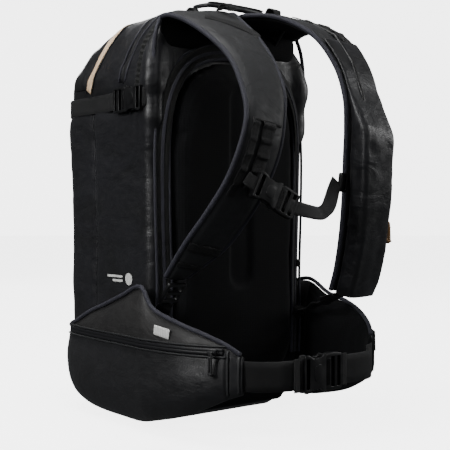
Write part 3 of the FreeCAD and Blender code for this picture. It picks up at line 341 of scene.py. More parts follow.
def spline(points, t):
    """The point at t on a smooth curve through the points, t from 0 to one less than their count."""
    last = len(points) - 1
    i = max(0, min(int(math.floor(t)), last - 1))
    u = t - i
    p1, p2 = Vector(points[i]), Vector(points[i + 1])
    p0 = Vector(points[i - 1]) if i > 0 else p1 * 2 - p2
    p3 = Vector(points[i + 2]) if i + 2 <= last else p2 * 2 - p1
    return (p1 * 2 + (p2 - p0) * u + (p0 * 2 - p1 * 5 + p2 * 4 - p3) * u ** 2
            + (p1 * 3 - p0 - p2 * 3 + p3) * u ** 3) * 0.5


def even(points, count):
    """Points evenly spaced along the smooth curve through points."""
    fine = [spline(points, (len(points) - 1) * i / 400) for i in range(401)]
    run = [0.0]
    for a, b in zip(fine, fine[1:]):
        run.append(run[-1] + (b - a).length)
    out, j = [], 0
    for i in range(count):
        want = run[-1] * i / (count - 1)
        while j < 399 and run[j + 1] < want:
            j += 1
        share = (want - run[j]) / max(run[j + 1] - run[j], 1e-9)
        out.append(fine[j].lerp(fine[j + 1], min(max(share, 0), 1)))
    return out


def skin(loops, closed_ends=True):
    """Vertices and faces of a tube of quads through loops of equal count, with its ends filled."""
    n = len(loops[0])
    vertices = [p for loop in loops for p in loop]
    faces = []
    for i in range(len(loops) - 1):
        for j in range(n):
            k = (j + 1) % n
            faces.append((i * n + j, i * n + k, (i + 1) * n + k, (i + 1) * n + j))
    if closed_ends:
        for i, flip in ((0, True), (len(loops) - 1, False)):
            middle = sum((Vector(p) for p in loops[i]), Vector()) / n
            vertices.append(middle)
            hub = len(vertices) - 1
            for j in range(n):
                a, b = i * n + j, i * n + (j + 1) % n
                faces.append((hub, b, a) if flip else (hub, a, b))
    return vertices, faces


def tangents(points):
    last = len(points) - 1
    return [(points[min(i + 1, last)] - points[max(i - 1, 0)]).normalized() for i in range(last + 1)]


def cord(name, points, radius, finish, body, count=None, around=10, taper=None):
    """A round cord or piping along a smooth line through points."""
    line = even([Vector(p) for p in points], count or max(12, 6 * len(points)))
    along = tangents(line)
    side = along[0].orthogonal().normalized()
    loops = []
    for i, (p, t) in enumerate(zip(line, along)):
        side = (side - t * side.dot(t)).normalized()
        other = t.cross(side)
        r = radius * (taper(i / (len(line) - 1)) if taper else 1)
        loops.append([p + side * (r * math.cos(a)) + other * (r * math.sin(a))
                      for a in (2 * math.pi * k / around for k in range(around))])
    vertices, faces = skin(loops)
    return add_piece(name, vertices, faces, finish, body)


def tape(name, points, ups, width, thick, finish, body, count=None, wave=None):
    """A flat webbing or tape through points; ups are its outward directions, one or one for each point.

    Its UV map is in metres: along the length, then across from the middle.
    """
    points = [Vector(p) for p in points]
    ups = [Vector(u) for u in ups] if isinstance(ups, list) else [Vector(ups)] * len(points)
    count = count or max(10, 8 * len(points))
    line, loops, uv, run = [], [], [], 0.0
    last = len(points) - 1
    for i in range(count):
        line.append((spline(points, last * i / (count - 1)), spline(ups, last * i / (count - 1))))
    along = tangents([p for p, u in line])
    section = [(-1, -1), (-0.94, 1), (-0.5, 1), (0, 1), (0.5, 1), (0.94, 1), (1, -1), (0.94, -1), (0.5, -1),
               (0, -1), (-0.5, -1), (-0.94, -1)]
    section[0], section[6] = (-1, 0), (1, 0)
    for i, ((p, up), t) in enumerate(zip(line, along)):
        if i:
            run += (p - line[i - 1][0]).length
        up = (up - t * up.dot(t)).normalized()
        across = up.cross(t).normalized()
        lift = wave(i / (count - 1)) if wave else 0.0
        loop = []
        for s, h in section:
            loop.append(p + across * (s * width / 2) + up * (h * thick / 2 + lift))
            uv.append((run * MM, s * width / 2 * MM))
        loops.append(loop)
    vertices, faces = skin(loops)
    uv += [(0, 0), (run * MM, 0)]
    return add_piece(name, vertices, faces, finish, body, uv)


def joined(name, pieces):
    """Several meshes of one body made one piece, keeping their materials."""
    bpy.ops.object.select_all(action="DESELECT")
    for piece in pieces:
        piece.select_set(True)
    bpy.context.view_layer.objects.active = pieces[0]
    bpy.ops.object.join()
    pieces[0].name = name
    return pieces[0]


def bumpy(p, scale, seed=0.0):
    """Smooth noise from -1 to 1 at a point in millimetres, its lumps scale millimetres across."""
    return noise.noise(Vector((p.x / scale + seed, p.y / scale - seed, p.z / scale + 2 * seed)))


def puffed(piece, voxel, cap, pressure=4.0, stiffness=15.0):
    """Swells a closed padded piece by cloth pressure, no point moving over cap millimetres."""
    remesh = modify(piece, "REMESH", mode="VOXEL", voxel_size=voxel * MM)
    remesh.use_smooth_shade = True
    apply_modifiers(piece)
    start = [v.co.copy() for v in piece.data.vertices]
    cloth = modify(piece, "CLOTH")
    cloth.settings.use_pressure = True
    cloth.settings.uniform_pressure_force = pressure
    cloth.settings.tension_stiffness = stiffness
    cloth.settings.compression_stiffness = stiffness
    cloth.settings.effector_weights.gravity = 0.0
    cloth.point_cache.frame_start, cloth.point_cache.frame_end = 1, 14
    for step in range(1, 15):
        bpy.context.scene.frame_set(step)
    apply_modifiers(piece)
    for v, was in zip(piece.data.vertices, start):
        moved = v.co - was
        if moved.length > cap * MM:
            v.co = was + moved.normalized() * cap * MM
    bpy.context.scene.frame_set(1)


def apply_modifiers(piece):
    """Freezes a piece's modifiers into its mesh."""
    seen = bpy.context.evaluated_depsgraph_get()
    seen.update()
    frozen = bpy.data.meshes.new_from_object(piece.evaluated_get(seen))
    finishes = [m for m in piece.data.materials]
    piece.modifiers.clear()
    piece.data = frozen
    piece.data.materials.clear()
    for finish in finishes:
        piece.data.materials.append(finish)
    piece.data.polygons.foreach_set("use_smooth", [True] * len(piece.data.polygons))


# ---------------------------------------------------------------- the bag's form
SHELL_LOW, SHELL_HIGH = corner("main_shell", 0), corner("main_shell", 1)
HALF_WIDE = (SHELL_HIGH.x - SHELL_LOW.x) / 2 - 0.6
HALF_DEEP = -SHELL_LOW.y - 0.4
TALL = SHELL_HIGH.z
# height, half width, depth behind and depth in front, as shares of the overall sizes
BAG_LEVELS = [(0.000, 0.72, 0.78, 0.40), (0.030, 0.87, 0.93, 0.74), (0.110, 0.94, 0.99, 0.96),
              (0.270, 0.965, 1.00, 1.00), (0.430, 0.97, 1.00, 1.02), (0.590, 0.985, 1.00, 1.02),
              (0.740, 1.01, 1.03, 1.01), (0.845, 1.01, 1.05, 0.86), (0.920, 0.95, 1.03, 0.55),
              (0.972, 0.82, 0.99, 0.15), (1.000, 0.60, 0.88, -0.24)]
STRAP_LEVEL = (corner("compression_strap", 0).z + corner("compression_strap", 1).z) / 2
FLAP_SILL = corner("front_flap", 0).z
FLAP_FOOT, FLAP_HEAD = 42, -10
AIRBAG_FOOT, AIRBAG_HEAD = -50, -87
REAR_SEAM_FOOT, REAR_SEAM_HEAD = -88, -106
SIDE_SEAM = 28


def level_sizes(share):
    """The bag's half width, back and front at a height given as a share."""
    rows = BAG_LEVELS
    i = max(j for j in range(len(rows) - 1) if rows[j][0] <= share or j == 0)
    u = (share - rows[i][0]) / (rows[i + 1][0] - rows[i][0])
    t = i + u
    wide, back, front = spline([row[1:] for row in rows], t)
    return wide * HALF_WIDE, -back * HALF_DEEP, front * HALF_DEEP


def round_corners(half_x, half_y, radius, share):
    """The point at a share of the way round a rounded rectangle, starting at the middle of +Y."""
    flat_x, flat_y = half_x - radius, half_y - radius
    arc = radius * math.pi / 2
    runs = [flat_x, arc, 2 * flat_y, arc, 2 * flat_x, arc, 2 * flat_y, arc, flat_x]
    at = (share % 1.0) * sum(runs)
    k = 0
    while at > runs[k]:
        at -= runs[k]
        k += 1
    if k % 2 == 0:
        start = [(0, half_y), None, (half_x, flat_y), None, (flat_x, -half_y), None, (-half_x, -flat_y), None,
                 (-flat_x, half_y)][k]
        step = [(1, 0), None, (0, -1), None, (-1, 0), None, (0, 1), None, (1, 0)][k]
        return start[0] + step[0] * at, start[1] + step[1] * at
    centre = {1: (flat_x, flat_y, 90), 3: (flat_x, -flat_y, 0), 5: (-flat_x, -flat_y, -90),
              7: (-flat_x, flat_y, -180)}[k]
    angle = math.radians(centre[2] - 90 * at / arc)
    return centre[0] + radius * math.cos(angle), centre[1] + radius * math.sin(angle)


def leaning(p, foot, head):
    """How far a point lies in front of the plane that leans from foot at the sill to head at the top."""
    lean = (head - foot) / (TALL - FLAP_SILL)
    return (p.y - foot - lean * (p.z - FLAP_SILL)) / math.sqrt(1 + lean * lean)


def groove(distance, width, depth):
    """A soft pinch line."""
    return -depth * math.exp(-(distance / width) ** 2)


def cloth_relief(p, outward):
    """How far the cloth stands out from the plain form: seams pulled in, panels blown out, soft creases."""
    side = abs(outward.x)
    rise = 0.0
    above = p.z > FLAP_SILL - 25
    if above:
        rise += groove(leaning(p, AIRBAG_FOOT, AIRBAG_HEAD), 5.0, 2.6)
        rise += groove(leaning(p, REAR_SEAM_FOOT, REAR_SEAM_HEAD), 4.0, 2.0)
        rise += groove(leaning(p, FLAP_FOOT, FLAP_HEAD), 7.0, 2.4)
    rise += groove(p.z - STRAP_LEVEL, 13.0, 3.2) * (0.4 + 0.6 * side)
    rise += 2.2 * math.exp(-((p.z - STRAP_LEVEL + 38) / 26) ** 2)
    rise += 1.6 * math.exp(-((p.z - STRAP_LEVEL - 42) / 24) ** 2)
    if not above:
        rise += groove(p.y - SIDE_SEAM, 4.0, 2.2) * side
    rise += groove(p.z - 150, 120.0, -1.5) * side
    # the padded roll beside the yoke
    high_up = math.exp(-((p.z - 462) / 62) ** 2)
    rise += 9.0 * high_up * min(max((abs(p.x) - 116) / 16, 0), 1) * min(max((-p.y - 88) / 22, 0), 1)
    # creases that fan down from the strap's ends, and long slack folds lower down
    slant = Vector((p.x * 0.5, p.y + 0.55 * p.z, p.z - 0.4 * p.y))
    near = math.exp(-((p.z - STRAP_LEVEL) / 90) ** 2)
    rise += (1.0 + 2.2 * near) * bumpy(Vector((slant.x, slant.y * 0.55, slant.z * 1.7)), 46, 3.1) * side
    rise += 1.5 * bumpy(Vector((slant.x, slant.y * 0.5, slant.z)), 95, 7.7)
    rise += 0.7 * bumpy(slant, 17, 1.3) * (0.35 + near)
    if above:
        rise += 1.3 * bumpy(Vector((p.x, p.y * 1.8, p.z * 0.8)), 30, 5.5)
    return rise


AROUND, UP = 220, 150
REAR_CORNER = 15


def bag_loops(inset):
    """Rings of points over the whole bag, crowned at the top and bottom."""
    loops = []
    shares = [i / UP for i in range(UP + 1)]
    for share in shares:
        wide, back, front = level_sizes(share)
        half_y, middle = (front - back) / 2 - inset, (front + back) / 2
        radius = min(32, half_y * 0.85)
        loop = []
        for j in range(AROUND):
            x, y = round_corners(wide - inset, half_y, radius, j / AROUND)
            rear = min(max((-y - half_y + 70) / 34, 0), 1)
            tight = round_corners(wide - inset, half_y, min(radius, REAR_CORNER), j / AROUND)
            x, y = x + (tight[0] - x) * rear, y + (tight[1] - y) * rear
            p = Vector((x, y + middle, inset + share * (TALL - 3 - 2 * inset)))
            outward = Vector((x / wide, y / half_y, 0))
            outward = Vector((outward.x ** 5, outward.y ** 5, 0)).normalized()
            if inset == 0:
                p += outward * cloth_relief(p, outward)
            loop.append(p)
        loops.append(loop)
    for shrink, rise in ((0.9, 1.4), (0.7, 2.6), (0.45, 3.0), (0.2, 3.0)):
        top = loops[UP]
        middle = sum(top, Vector()) / len(top)
        loops.append([middle + (p - middle) * shrink + Vector((0, 0, rise)) for p in top])
    foot = loops[0]
    middle = sum(foot, Vector()) / len(foot)
    for shrink in (0.92, 0.7, 0.35):
        loops.insert(0, [middle + (p - middle) * shrink + Vector((0, 0, 0.05 - p.z)) for p in foot])
    return loops


def tree_of(vertices, faces):
    return BVHTree.FromPolygons([Vector(v) for v in vertices], faces)


def split_bag():
    """The cloth shell and the front flap, cut from one form along the zip's leaning line."""
    vertices, faces = skin(bag_loops(0))
    tree = tree_of(vertices, faces)
    lean = (FLAP_HEAD - FLAP_FOOT) / (TALL - FLAP_SILL)
    across = Vector((0, 1, -lean)).normalized()
    foot = Vector((0, FLAP_FOOT, FLAP_SILL))
    for name, node, body, finish, is_flap in (("bag_cloth", "main_shell", "pack", "shell_fabric", False),
                                              ("flap_cloth", "front_flap", "flap", "flap_fabric", True)):
        piece = add_piece(name, vertices, faces, finish, body)
        work = bmesh.new()
        work.from_mesh(piece.data)
        gap = 0.4 if is_flap else -0.4
        for at, normal in ((foot + across * gap, across), (foot + Vector((0, 0, gap)), Vector((0, 0, 1)))):
            everything = work.verts[:] + work.edges[:] + work.faces[:]
            bmesh.ops.bisect_plane(work, geom=everything, plane_co=at * MM, plane_no=normal)
        out = []
        for face in work.faces:
            p = face.calc_center_median() / MM
            in_flap = (p - foot - across * gap).dot(across) > 0 and p.z > FLAP_SILL + gap
            if in_flap != is_flap:
                out.append(face)
        bmesh.ops.delete(work, geom=out, context="FACES")
        work.to_mesh(piece.data)
        work.free()
        modify(piece, "SOLIDIFY", thickness=1.5 * MM, offset=-1.0)
        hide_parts(node)
    return tree


def on_bag(tree, origin, direction):
    """Where a line from inside meets the bag's cloth, and the way out there."""
    hit, normal = tree.ray_cast(Vector(origin), Vector(direction).normalized())[:2]
    if normal.dot(Vector(direction)) < 0:
        normal = -normal
    return hit, normal


def arch_line(tree, foot, head, first, last, count):
    """Points and outward directions over the bag along a leaning plane, by angle from straight up."""
    lean = (head - foot) / (TALL - FLAP_SILL)
    up = Vector((0, lean, 1)).normalized()
    centre = Vector((0, foot - lean * 60, FLAP_SILL - 60))
    out = []
    for i in range(count):
        a = math.radians(first + (last - first) * i / (count - 1))
        out.append(on_bag(tree, centre, Vector((math.sin(a), 0, 0)) + up * math.cos(a)))
    return out


def lifted(line, rise):
    return [p + n * rise for p, n in line], [n for p, n in line]


def bag_trim(tree):
    """Zips, seams and the elastic edge that arch over the bag."""
    points, ups = lifted(arch_line(tree, FLAP_FOOT - 9, FLAP_HEAD - 9, -67, 67, 60), 0.9)
    front = tape("front_zip_tape", points, ups, 16, 1.5, "tan_zip", "pack", count=120)
    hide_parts("front_zip")
    edges = []
    for side, shift in (("a", -18), ("b", 0.6)):
        points, ups = lifted(arch_line(tree, FLAP_FOOT + shift, FLAP_HEAD + shift, -67, 67, 60), 0.6)
        edges.append(tape(f"front_zip_welt_{side}", points, ups, 2.4, 1.6, "shell_fabric", "pack", count=110))
    points, ups = lifted(arch_line(tree, AIRBAG_FOOT, AIRBAG_HEAD, -66, 66, 60), 0.9)
    rear = tape("airbag_zip_tape", points, ups, 9, 1.5, "dark_zip", "pack", count=120)
    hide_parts("airbag_zip")
    for name, shift in (("front", 7.5), ("rear", -7.5)):
        points, ups = lifted(arch_line(tree, AIRBAG_FOOT + shift, AIRBAG_HEAD + shift, -66, 66, 60), 0.3)
        cord(f"airbag_zip_welt_{name}", points, 1.5, "piping", "pack", count=110, around=8)
    points, ups = lifted(arch_line(tree, REAR_SEAM_FOOT, REAR_SEAM_HEAD, -70, -12, 60), 0.8)
    tape("gathered_elastic", points, ups, 12, 1.4, "band_fabric", "pack", count=180,
         wave=lambda u: 0.7 * math.sin(u * 150))


def seam_down_sides(tree):
    """The raised seam where each side panel meets the front panel, and a seam down the right back corner."""
    for side, name in ((RIGHT, "right"), (LEFT, "left")):
        line = [on_bag(tree, (0, SIDE_SEAM, z), (side, 0, 0)) for z in range(30, 468, 12)]
        points, ups = lifted(line, 0.2)
        tape(f"side_seam_{name}", points, ups, 2.6, 1.2, "shell_fabric", "pack", count=90)
    line = [on_bag(tree, (0, 0, z), (-0.9, -1, 0)) for z in range(120, 520, 12)]
    points, ups = lifted(line, 0.2)
    tape("back_corner_seam_right", points, ups, 2.4, 1.2, "shell_fabric", "pack", count=90)


# ---------------------------------------------------------------- back panel
PAD_LOW, PAD_HIGH = corner("back_pad", 0), corner("back_pad", 1)
PAD_SHELL, PAD_FACE = PAD_HIGH.y, PAD_LOW.y
# height, half width of the foam pad
PAD_OUTLINE = [(58, 96), (80, 112), (130, 114), (200, 113), (290, 116), (380, 117), (430, 112), (465, 99),
               (490, 78), (504, 50), (510, 18), (511, 0)]
SPINE_HALF, SPINE_FOOT, SPINE_TOP, SPINE_DEEP = 20, 205, 450, 5.0


def outline_points(rows, grow, count):
    """The pad's edge from its lower right round over the arch to its lower left, grown outward."""
    side = even([Vector((half, 0, z)) for z, half in rows], count)
    out = []
    for i, p in enumerate(side):
        ahead, behind = side[min(i + 1, count - 1)], side[max(i - 1, 0)]
        run = (ahead - behind).normalized()
        out.append(p + Vector((run.z, 0, -run.x)) * grow)
    right = [Vector((-p.x, 0, p.z)) for p in out]
    return right + [Vector((p.x, 0, p.z)) for p in reversed(out[:-1])]


def capsule_distance(p):
    """Distance inside the spine channel's rounded outline; negative outside it."""
    z = min(max(p.z, SPINE_FOOT), SPINE_TOP)
    return SPINE_HALF - math.hypot(p.x, p.z - z)


def back_panel():
    """The crowned foam pad with its spine channel, and the grosgrain band that zips round it."""
    rings = []
    edge = outline_points(PAD_OUTLINE, 0, 60)
    middle = Vector((0, 0, 270))
    depth = PAD_SHELL - PAD_FACE - 3
    for share in (0.0, 0.05, 0.12, 0.2, 0.3, 0.42, 0.55, 0.7, 0.85, 0.97):
        rise = (1 - (1 - min(share / 0.22, 1)) ** 2.4)
        rings.append([Vector((middle.x + (p.x - middle.x) * (1 - share), PAD_SHELL - depth * rise - 1,
                              middle.z + (p.z - middle.z) * (1 - share))) for p in edge])
    rings.insert(0, [Vector((p.x, PAD_SHELL + 1.5, p.z)) for p in edge])
    vertices, faces = skin(rings)
    pad = add_piece("back_pad_foam", vertices, faces, "pad_fabric", "pack")
    puffed(pad, 5.0, 4.0, pressure=3.0)
    for v in pad.data.vertices:
        p = v.co / MM
        if p.y > PAD_SHELL - 12:
            continue
        inside = capsule_distance(p)
        v.co.y += SPINE_DEEP * MM * min(max((inside + 2.5) / 5, 0), 1)
        v.co.y += 0.9 * MM * bumpy(p, 60, 2.2)
    modify(pad, "SUBSURF", levels=1, render_levels=1)
    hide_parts("back_pad")

    path = outline_points(PAD_OUTLINE[1:], 10.5, 70)
    line = [Vector((p.x, PAD_SHELL - 4 - 5 * math.exp(-((p.z - 460) / 70) ** 2), p.z)) for p in path]
    outward = []
    for p in line:
        lean = Vector((p.x * 0.004, 0, 0))
        outward.append((Vector((0, -1, 0)) + lean).normalized())
    band = tape("back_zip_tape", line, outward, 21, 2.4, "band_fabric", "pack", count=260)
    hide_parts("back_zip_band")
    coil = [p + Vector((0, -1.7, 0)) for p in line]
    tape("back_zip_coil", coil, outward, 4.6, 1.6, "piping", "pack", count=520,
         wave=lambda u: 0.35 * math.sin(u * 1600))
    rim = outline_points(PAD_OUTLINE[1:], 0.6, 70)
    cord("back_pad_piping", [Vector((p.x, PAD_SHELL - 8, p.z)) for p in rim], 2.6, "piping", "pack",
         count=220, around=8)
    rim = outline_points(PAD_OUTLINE[1:], 21.5, 70)
    cord("back_band_piping", [Vector((p.x, PAD_SHELL - 3.5, p.z)) for p in rim], 2.0, "piping", "pack",
         count=220, around=8)
    lip = []
    for i in range(25):
        a = math.pi * i / 24
        lip.append(Vector((-SPINE_HALF * math.cos(a), PAD_FACE + 3.6, SPINE_FOOT - SPINE_HALF * math.sin(a))))
    lip = [Vector((-SPINE_HALF, PAD_FACE + 3.6, z)) for z in (330, 280, 240)] + lip
    lip += [Vector((SPINE_HALF, PAD_FACE + 3.6, z)) for z in (240, 280, 330)]
    cord("spine_channel_stitching", lip, 1.1, "strap_fabric", "pack", count=90, around=6)


def lumbar():
    """The firmer pad low down between the wings, one soft mound on the back."""
    low, high = corner("lumbar_pad", 0), corner("lumbar_pad", 1)
    loops = []
    for share, grow in ((0, 0.98), (0.12, 1.0), (0.4, 0.985), (0.7, 0.95), (0.9, 0.88), (1.0, 0.76),
                        (1.02, 0.5),
                        (1.02, 0.15)):
        ring = []
        for j in range(72):
            x, z = round_corners((high.x - low.x) / 2 * grow, (high.z - low.z) / 2 * grow, 12 * grow, j / 72)
            ring.append(Vector((x, high.y - (high.y - low.y) * share, z + (low.z + high.z) / 2)))
        loops.append(ring)
    vertices, faces = skin(loops)
    pad = add_piece("lumbar_foam", vertices, faces, "pad_fabric", "pack")
    modify(pad, "SUBSURF", levels=1, render_levels=1)
    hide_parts("lumbar_pad")


# ---------------------------------------------------------------- hip belt
# x, y, lowest, highest and thickness along the right side, from the pocket's front end to the wing's tip
WING_RIGHT = [(141, 98, 56, 118, 3), (146, 84, 36, 126, 9), (150, 60, 22, 133, 15), (153, 20, 12, 149, 19),
              (155, -25, 8, 163, 22), (157, -70, 7, 178, 24), (159, -116, 7, 192, 27),
              (160, -146, 13, 165, 30),
              (157, -200, 27, 149, 27), (148, -238, 42, 138, 22), (136, -266, 56, 126, 15),
              (125, -284, 64, 113, 10)]
WING_LEFT = [(141, 98, 56, 118, 3), (146, 84, 36, 126, 9), (150, 60, 22, 133, 15), (153, 20, 12, 149, 19),
             (155, -25, 8, 166, 22), (157, -70, 7, 182, 24), (159, -112, 7, 190, 27),
             (161, -150, 14, 170, 29),
             (160, -188, 24, 160, 26), (154, -220, 38, 148, 20), (145, -246, 52, 132, 14),
             (134, -262, 62, 116, 9)]
SEAM_AT = (10.1, 10.75)
ZIP_LEVEL = (corner("hip_zip_right", 0).z + corner("hip_zip_right", 1).z) / 2


class Wing:
    """The hip pocket and wing as one padded band standing on edge."""

    def __init__(self, side, rows):
        self.side, self.rows, self.last = side, rows, len(rows) - 1

    def frame(self, t):
        """Middle line at t, the outward direction, and the low, high and thick values."""
        x, y, low = spline([row[:3] for row in self.rows], t)
        high, thick = spline([(row[3], row[4], 0) for row in self.rows], t)[:2]
        x1, y1 = spline([row[:3] for row in self.rows], min(t + 0.05, self.last))[:2]
        x0, y0 = spline([row[:3] for row in self.rows], max(t - 0.05, 0))[:2]
        out = Vector((-(y1 - y0), x1 - x0, 0)).normalized()
        return Vector((x * self.side, y, 0)), Vector((out.x * self.side, out.y, 0)), low, high, thick

    def at(self, t, z, rise=0.0):
        """A point on the outer face at height z, and the outward direction there."""
        middle, out, low, high, thick = self.frame(t)
        v = (z - (low + high) / 2) / ((high - low) / 2)
        bulge = thick / 2 * self.fullness(v)
        return middle + out * (bulge + rise) + Vector((0, 0, z)), out

    @staticmethod
    def fullness(v):
        """How full the padding is from -1 at the lower edge to 1 at the upper one."""
        return max(1 - abs(v) ** 3.2, 0) ** 0.55


def wing_relief(wing, t, z, low, high):
    """Seams, the pocket's own bulge and slack folds on a wing's outer face."""
    below = ZIP_LEVEL - 10 - z
    rise = groove(z - ZIP_LEVEL, 6, 1.6) if 0.9 < t < SEAM_AT[0] - 0.2 else 0
    if below > 0 and t < SEAM_AT[0] - 0.1:
        share = min(below / 25, 1)
        rise += 3.2 * share * math.exp(-((z - low - 38) / 48) ** 2)
    p = Vector((wing.side * t * 30, 0, z))
    rise += 1.5 * bumpy(Vector((p.x, p.z * 0.9, 4)), 42, 9.1) + 0.6 * bumpy(p, 16, 3.3)
    rise += groove(t - SEAM_AT[0], 0.06, 2.2)
    return rise


def hip_wing(side, name, rows):
    """One pocket and wing, its zip, its seams and the padded roll along its top edge."""
    wing = Wing(side, rows)
    loops, columns, around = [], 150, 44
    for i in range(columns + 1):
        t = wing.last * i / columns
        middle, out, low, high, thick = wing.frame(t)
        loop = []
        for j in range(around):
            a = 2 * math.pi * j / around
            v, w = math.sin(a), math.cos(a)
            z = (low + high) / 2 + (high - low) / 2 * v * (1 - 0.04 * (1 - abs(w)))
            full = wing.fullness(v) * abs(w) ** 0.35 if abs(w) > 1e-6 else 0
            if w > 0:
                reach = thick / 2 * full + wing_relief(wing, t, z, low, high) * abs(w) ** 0.5
            else:
                reach = -thick / 2 * full
            loop.append(middle + out * reach + Vector((0, 0, z)))
        loops.append(loop)
    vertices, faces = skin(loops)
    piece = add_piece(f"hip_wing_{name}_padding", vertices, faces, "pocket_fabric", "pack")
    piece.data.materials.append(FINISH["wing_fabric"])
    piece.data.materials.append(FINISH["pad_fabric"])
    for face in piece.data.polygons:
        centre = face.center / MM
        if face.normal.dot(Vector((side, 0, 0))) < -0.1 and centre.y < -118:
            face.material_index = 2
        elif centre.z > ZIP_LEVEL + 1:
            face.material_index = 1
    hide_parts(f"side_pocket_{name}", f"hip_wing_{name}")

    def line(first, last, level, rise, count=40):
        spots = [wing.at(first + (last - first) * i / (count - 1), level, rise) for i in range(count)]
        return [p for p, n in spots], [n for p, n in spots]

    points, ups = line(1.2, SEAM_AT[0] - 0.2, ZIP_LEVEL, 0.6)
    zip_tape = tape(f"hip_zip_{name}_tape", points, ups, 9, 1.6, "dark_zip", "pack", count=120)
    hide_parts(f"hip_zip_{name}")
    for tag, shift in (("upper", 6.4), ("lower", -6.4)):
        points, ups = line(0.9, SEAM_AT[0] - 0.05, ZIP_LEVEL + shift, 1.0)
        cord(f"hip_zip_{name}_welt_{tag}", points, 1.3, "strap_fabric", "pack", count=90, around=8)
    roll = []
    for i in range(60):
        t = 0.6 + (wing.last - 0.75) * i / 59
        middle, out, low, high, thick = wing.frame(t)
        roll.append(middle + out * (thick * 0.1) + Vector((0, 0, high - 0.5)))
    cord(f"hip_wing_{name}_piping", roll, 3.0, "piping", "pack", count=150, around=10)
    for k, t in enumerate(SEAM_AT):
        middle, out, low, high, thick = wing.frame(t)
        spots = [wing.at(t, low + (high - low) * u, 0.5) for u in (0.1, 0.25, 0.4, 0.55, 0.7, 0.85, 0.93)]
        tape(f"hip_wing_{name}_end_seam_{k}", [p for p, n in spots], [n for p, n in spots], 3.0, 1.2,
             "strap_fabric", "pack", count=40)
    return wing


def belt(wings):
    """The hip belt's webbing, folded flat round both wing tips and drawn to the big buckle."""
    low, high = corner("belt_webbing_right", 0), corner("belt_webbing_right", 1)
    level, wide = (low.z + high.z) / 2, high.z - low.z
    y = (corner("hip_buckle_socket", 0).y + corner("hip_buckle_socket", 1).y) / 2
    start, end = corner("hip_buckle_socket", 0).x + 5, corner("hip_buckle_plug", 1).x - 9
    route = [(-133, -268), (-123, -286), (-112, -300), (-97, -311), (-79, -317.5), (start, y)]
    points = [Vector((px, py, level)) for px, py in route]
    right = tape("belt_webbing_right_strap", points, [outward_of(p) for p in points], wide, 2.0, "webbing",
                 "pack", count=80)
    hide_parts("belt_webbing_right")
    route = [(end, y), (42, y - 1), (76, y + 8), (97, y + 28), (110, -276), (126, -269), (140, -258)]
    points = [Vector((px, py, level)) for px, py in route]
    left = tape("belt_webbing_left_strap", points, [outward_of(p) for p in points], wide, 2.0, "webbing",
                None, count=90)
    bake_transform(left)
    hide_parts("belt_webbing_left")
    for name, x, sides in (("right", start - 16, -1), ("left", end + 14, 1)):
        keeper = [Vector((x, y - 2.6, level + h)) for h in (-21, -10, 0, 10, 21)]
        tape(f"belt_keeper_{name}", keeper, Vector((0, -1, 0)), 9, 1.6, "webbing",
             "pack" if sides < 0 else "hip_buckle_plug", count=20)


def outward_of(p):
    """Away from the wearer's middle, level."""
    return Vector((p.x * 1.1, p.y + 120, 0)).normalized()


# ---------------------------------------------------------------- shoulder straps
# outer edge and inner edge of each strap from the yoke down
STRAP_RIGHT = [
    ((-129, -112, 556), (-8, -112, 572)),
    ((-124, -130, 558), (-14, -134, 572)), ((-117, -160, 546), (-24, -166, 554)),
    ((-110, -202, 519), (-34, -210, 524)), ((-108, -240, 486), (-39, -246, 486)),
    ((-112, -268, 444), (-47, -272, 447)), ((-118, -281, 409), (-55, -281, 412)),
    ((-125, -276, 371), (-61, -279, 371)), ((-131, -258, 331), (-69, -266, 330)),
    ((-138, -228, 291), (-79, -244, 289)), ((-144, -189, 249), (-92, -208, 245)),
    ((-146, -152, 207), (-117, -158, 205))]
STRAP_LEFT = [
    ((130, -112, 556), (8, -112, 572)),
    ((129, -134, 562), (14, -138, 574)), ((127, -176, 560), (30, -182, 566)),
    ((125, -226, 535), (46, -232, 538)), ((123, -262, 494), (56, -265, 494)),
    ((122, -280, 447), (59, -281, 449)), ((123, -282, 405), (61, -282, 407)),
    ((125, -278, 362), (63, -278, 363)), ((129, -271, 312), (67, -272, 312)),
    ((134, -259, 262), (72, -262, 262)), ((140, -243, 215), (78, -247, 214)),
    ((144, -226, 184), (84, -231, 183))]
STRAP_INWARD = Vector((0, -110, 380))


class Strap:
    """A padded strap between two edges."""

    def __init__(self, pairs, thick):
        self.outer = [Vector(a) for a, b in pairs]
        self.inner = [Vector(b) for a, b in pairs]
        self.thick, self.last = thick, len(pairs) - 1

    def frame(self, t):
        """Middle, direction across towards the inner edge, outward normal and half width."""
        a, b = spline(self.outer, t), spline(self.inner, t)
        before = (spline(self.outer, t - 0.05) + spline(self.inner, t - 0.05)) / 2
        after = (spline(self.outer, t + 0.05) + spline(self.inner, t + 0.05)) / 2
        across = (b - a).normalized()
        normal = across.cross(after - before).normalized()
        middle = (a + b) / 2
        if normal.dot(middle - STRAP_INWARD) < 0:
            normal = -normal
        return middle, across, normal, (b - a).length / 2

    def crown(self, s):
        """The padding's half thickness from -1 at the outer edge to 1 at the inner edge."""
        return self.thick / 2 * (0.34 + 0.66 * max(1 - abs(s) ** 4, 0) ** 0.5)

    def at(self, t, s, rise=0.0):
        """A point on the outer face and the outward direction there."""
        middle, across, normal, half = self.frame(t)
        return middle + across * (s * half) + normal * (self.crown(s) + rise), normal


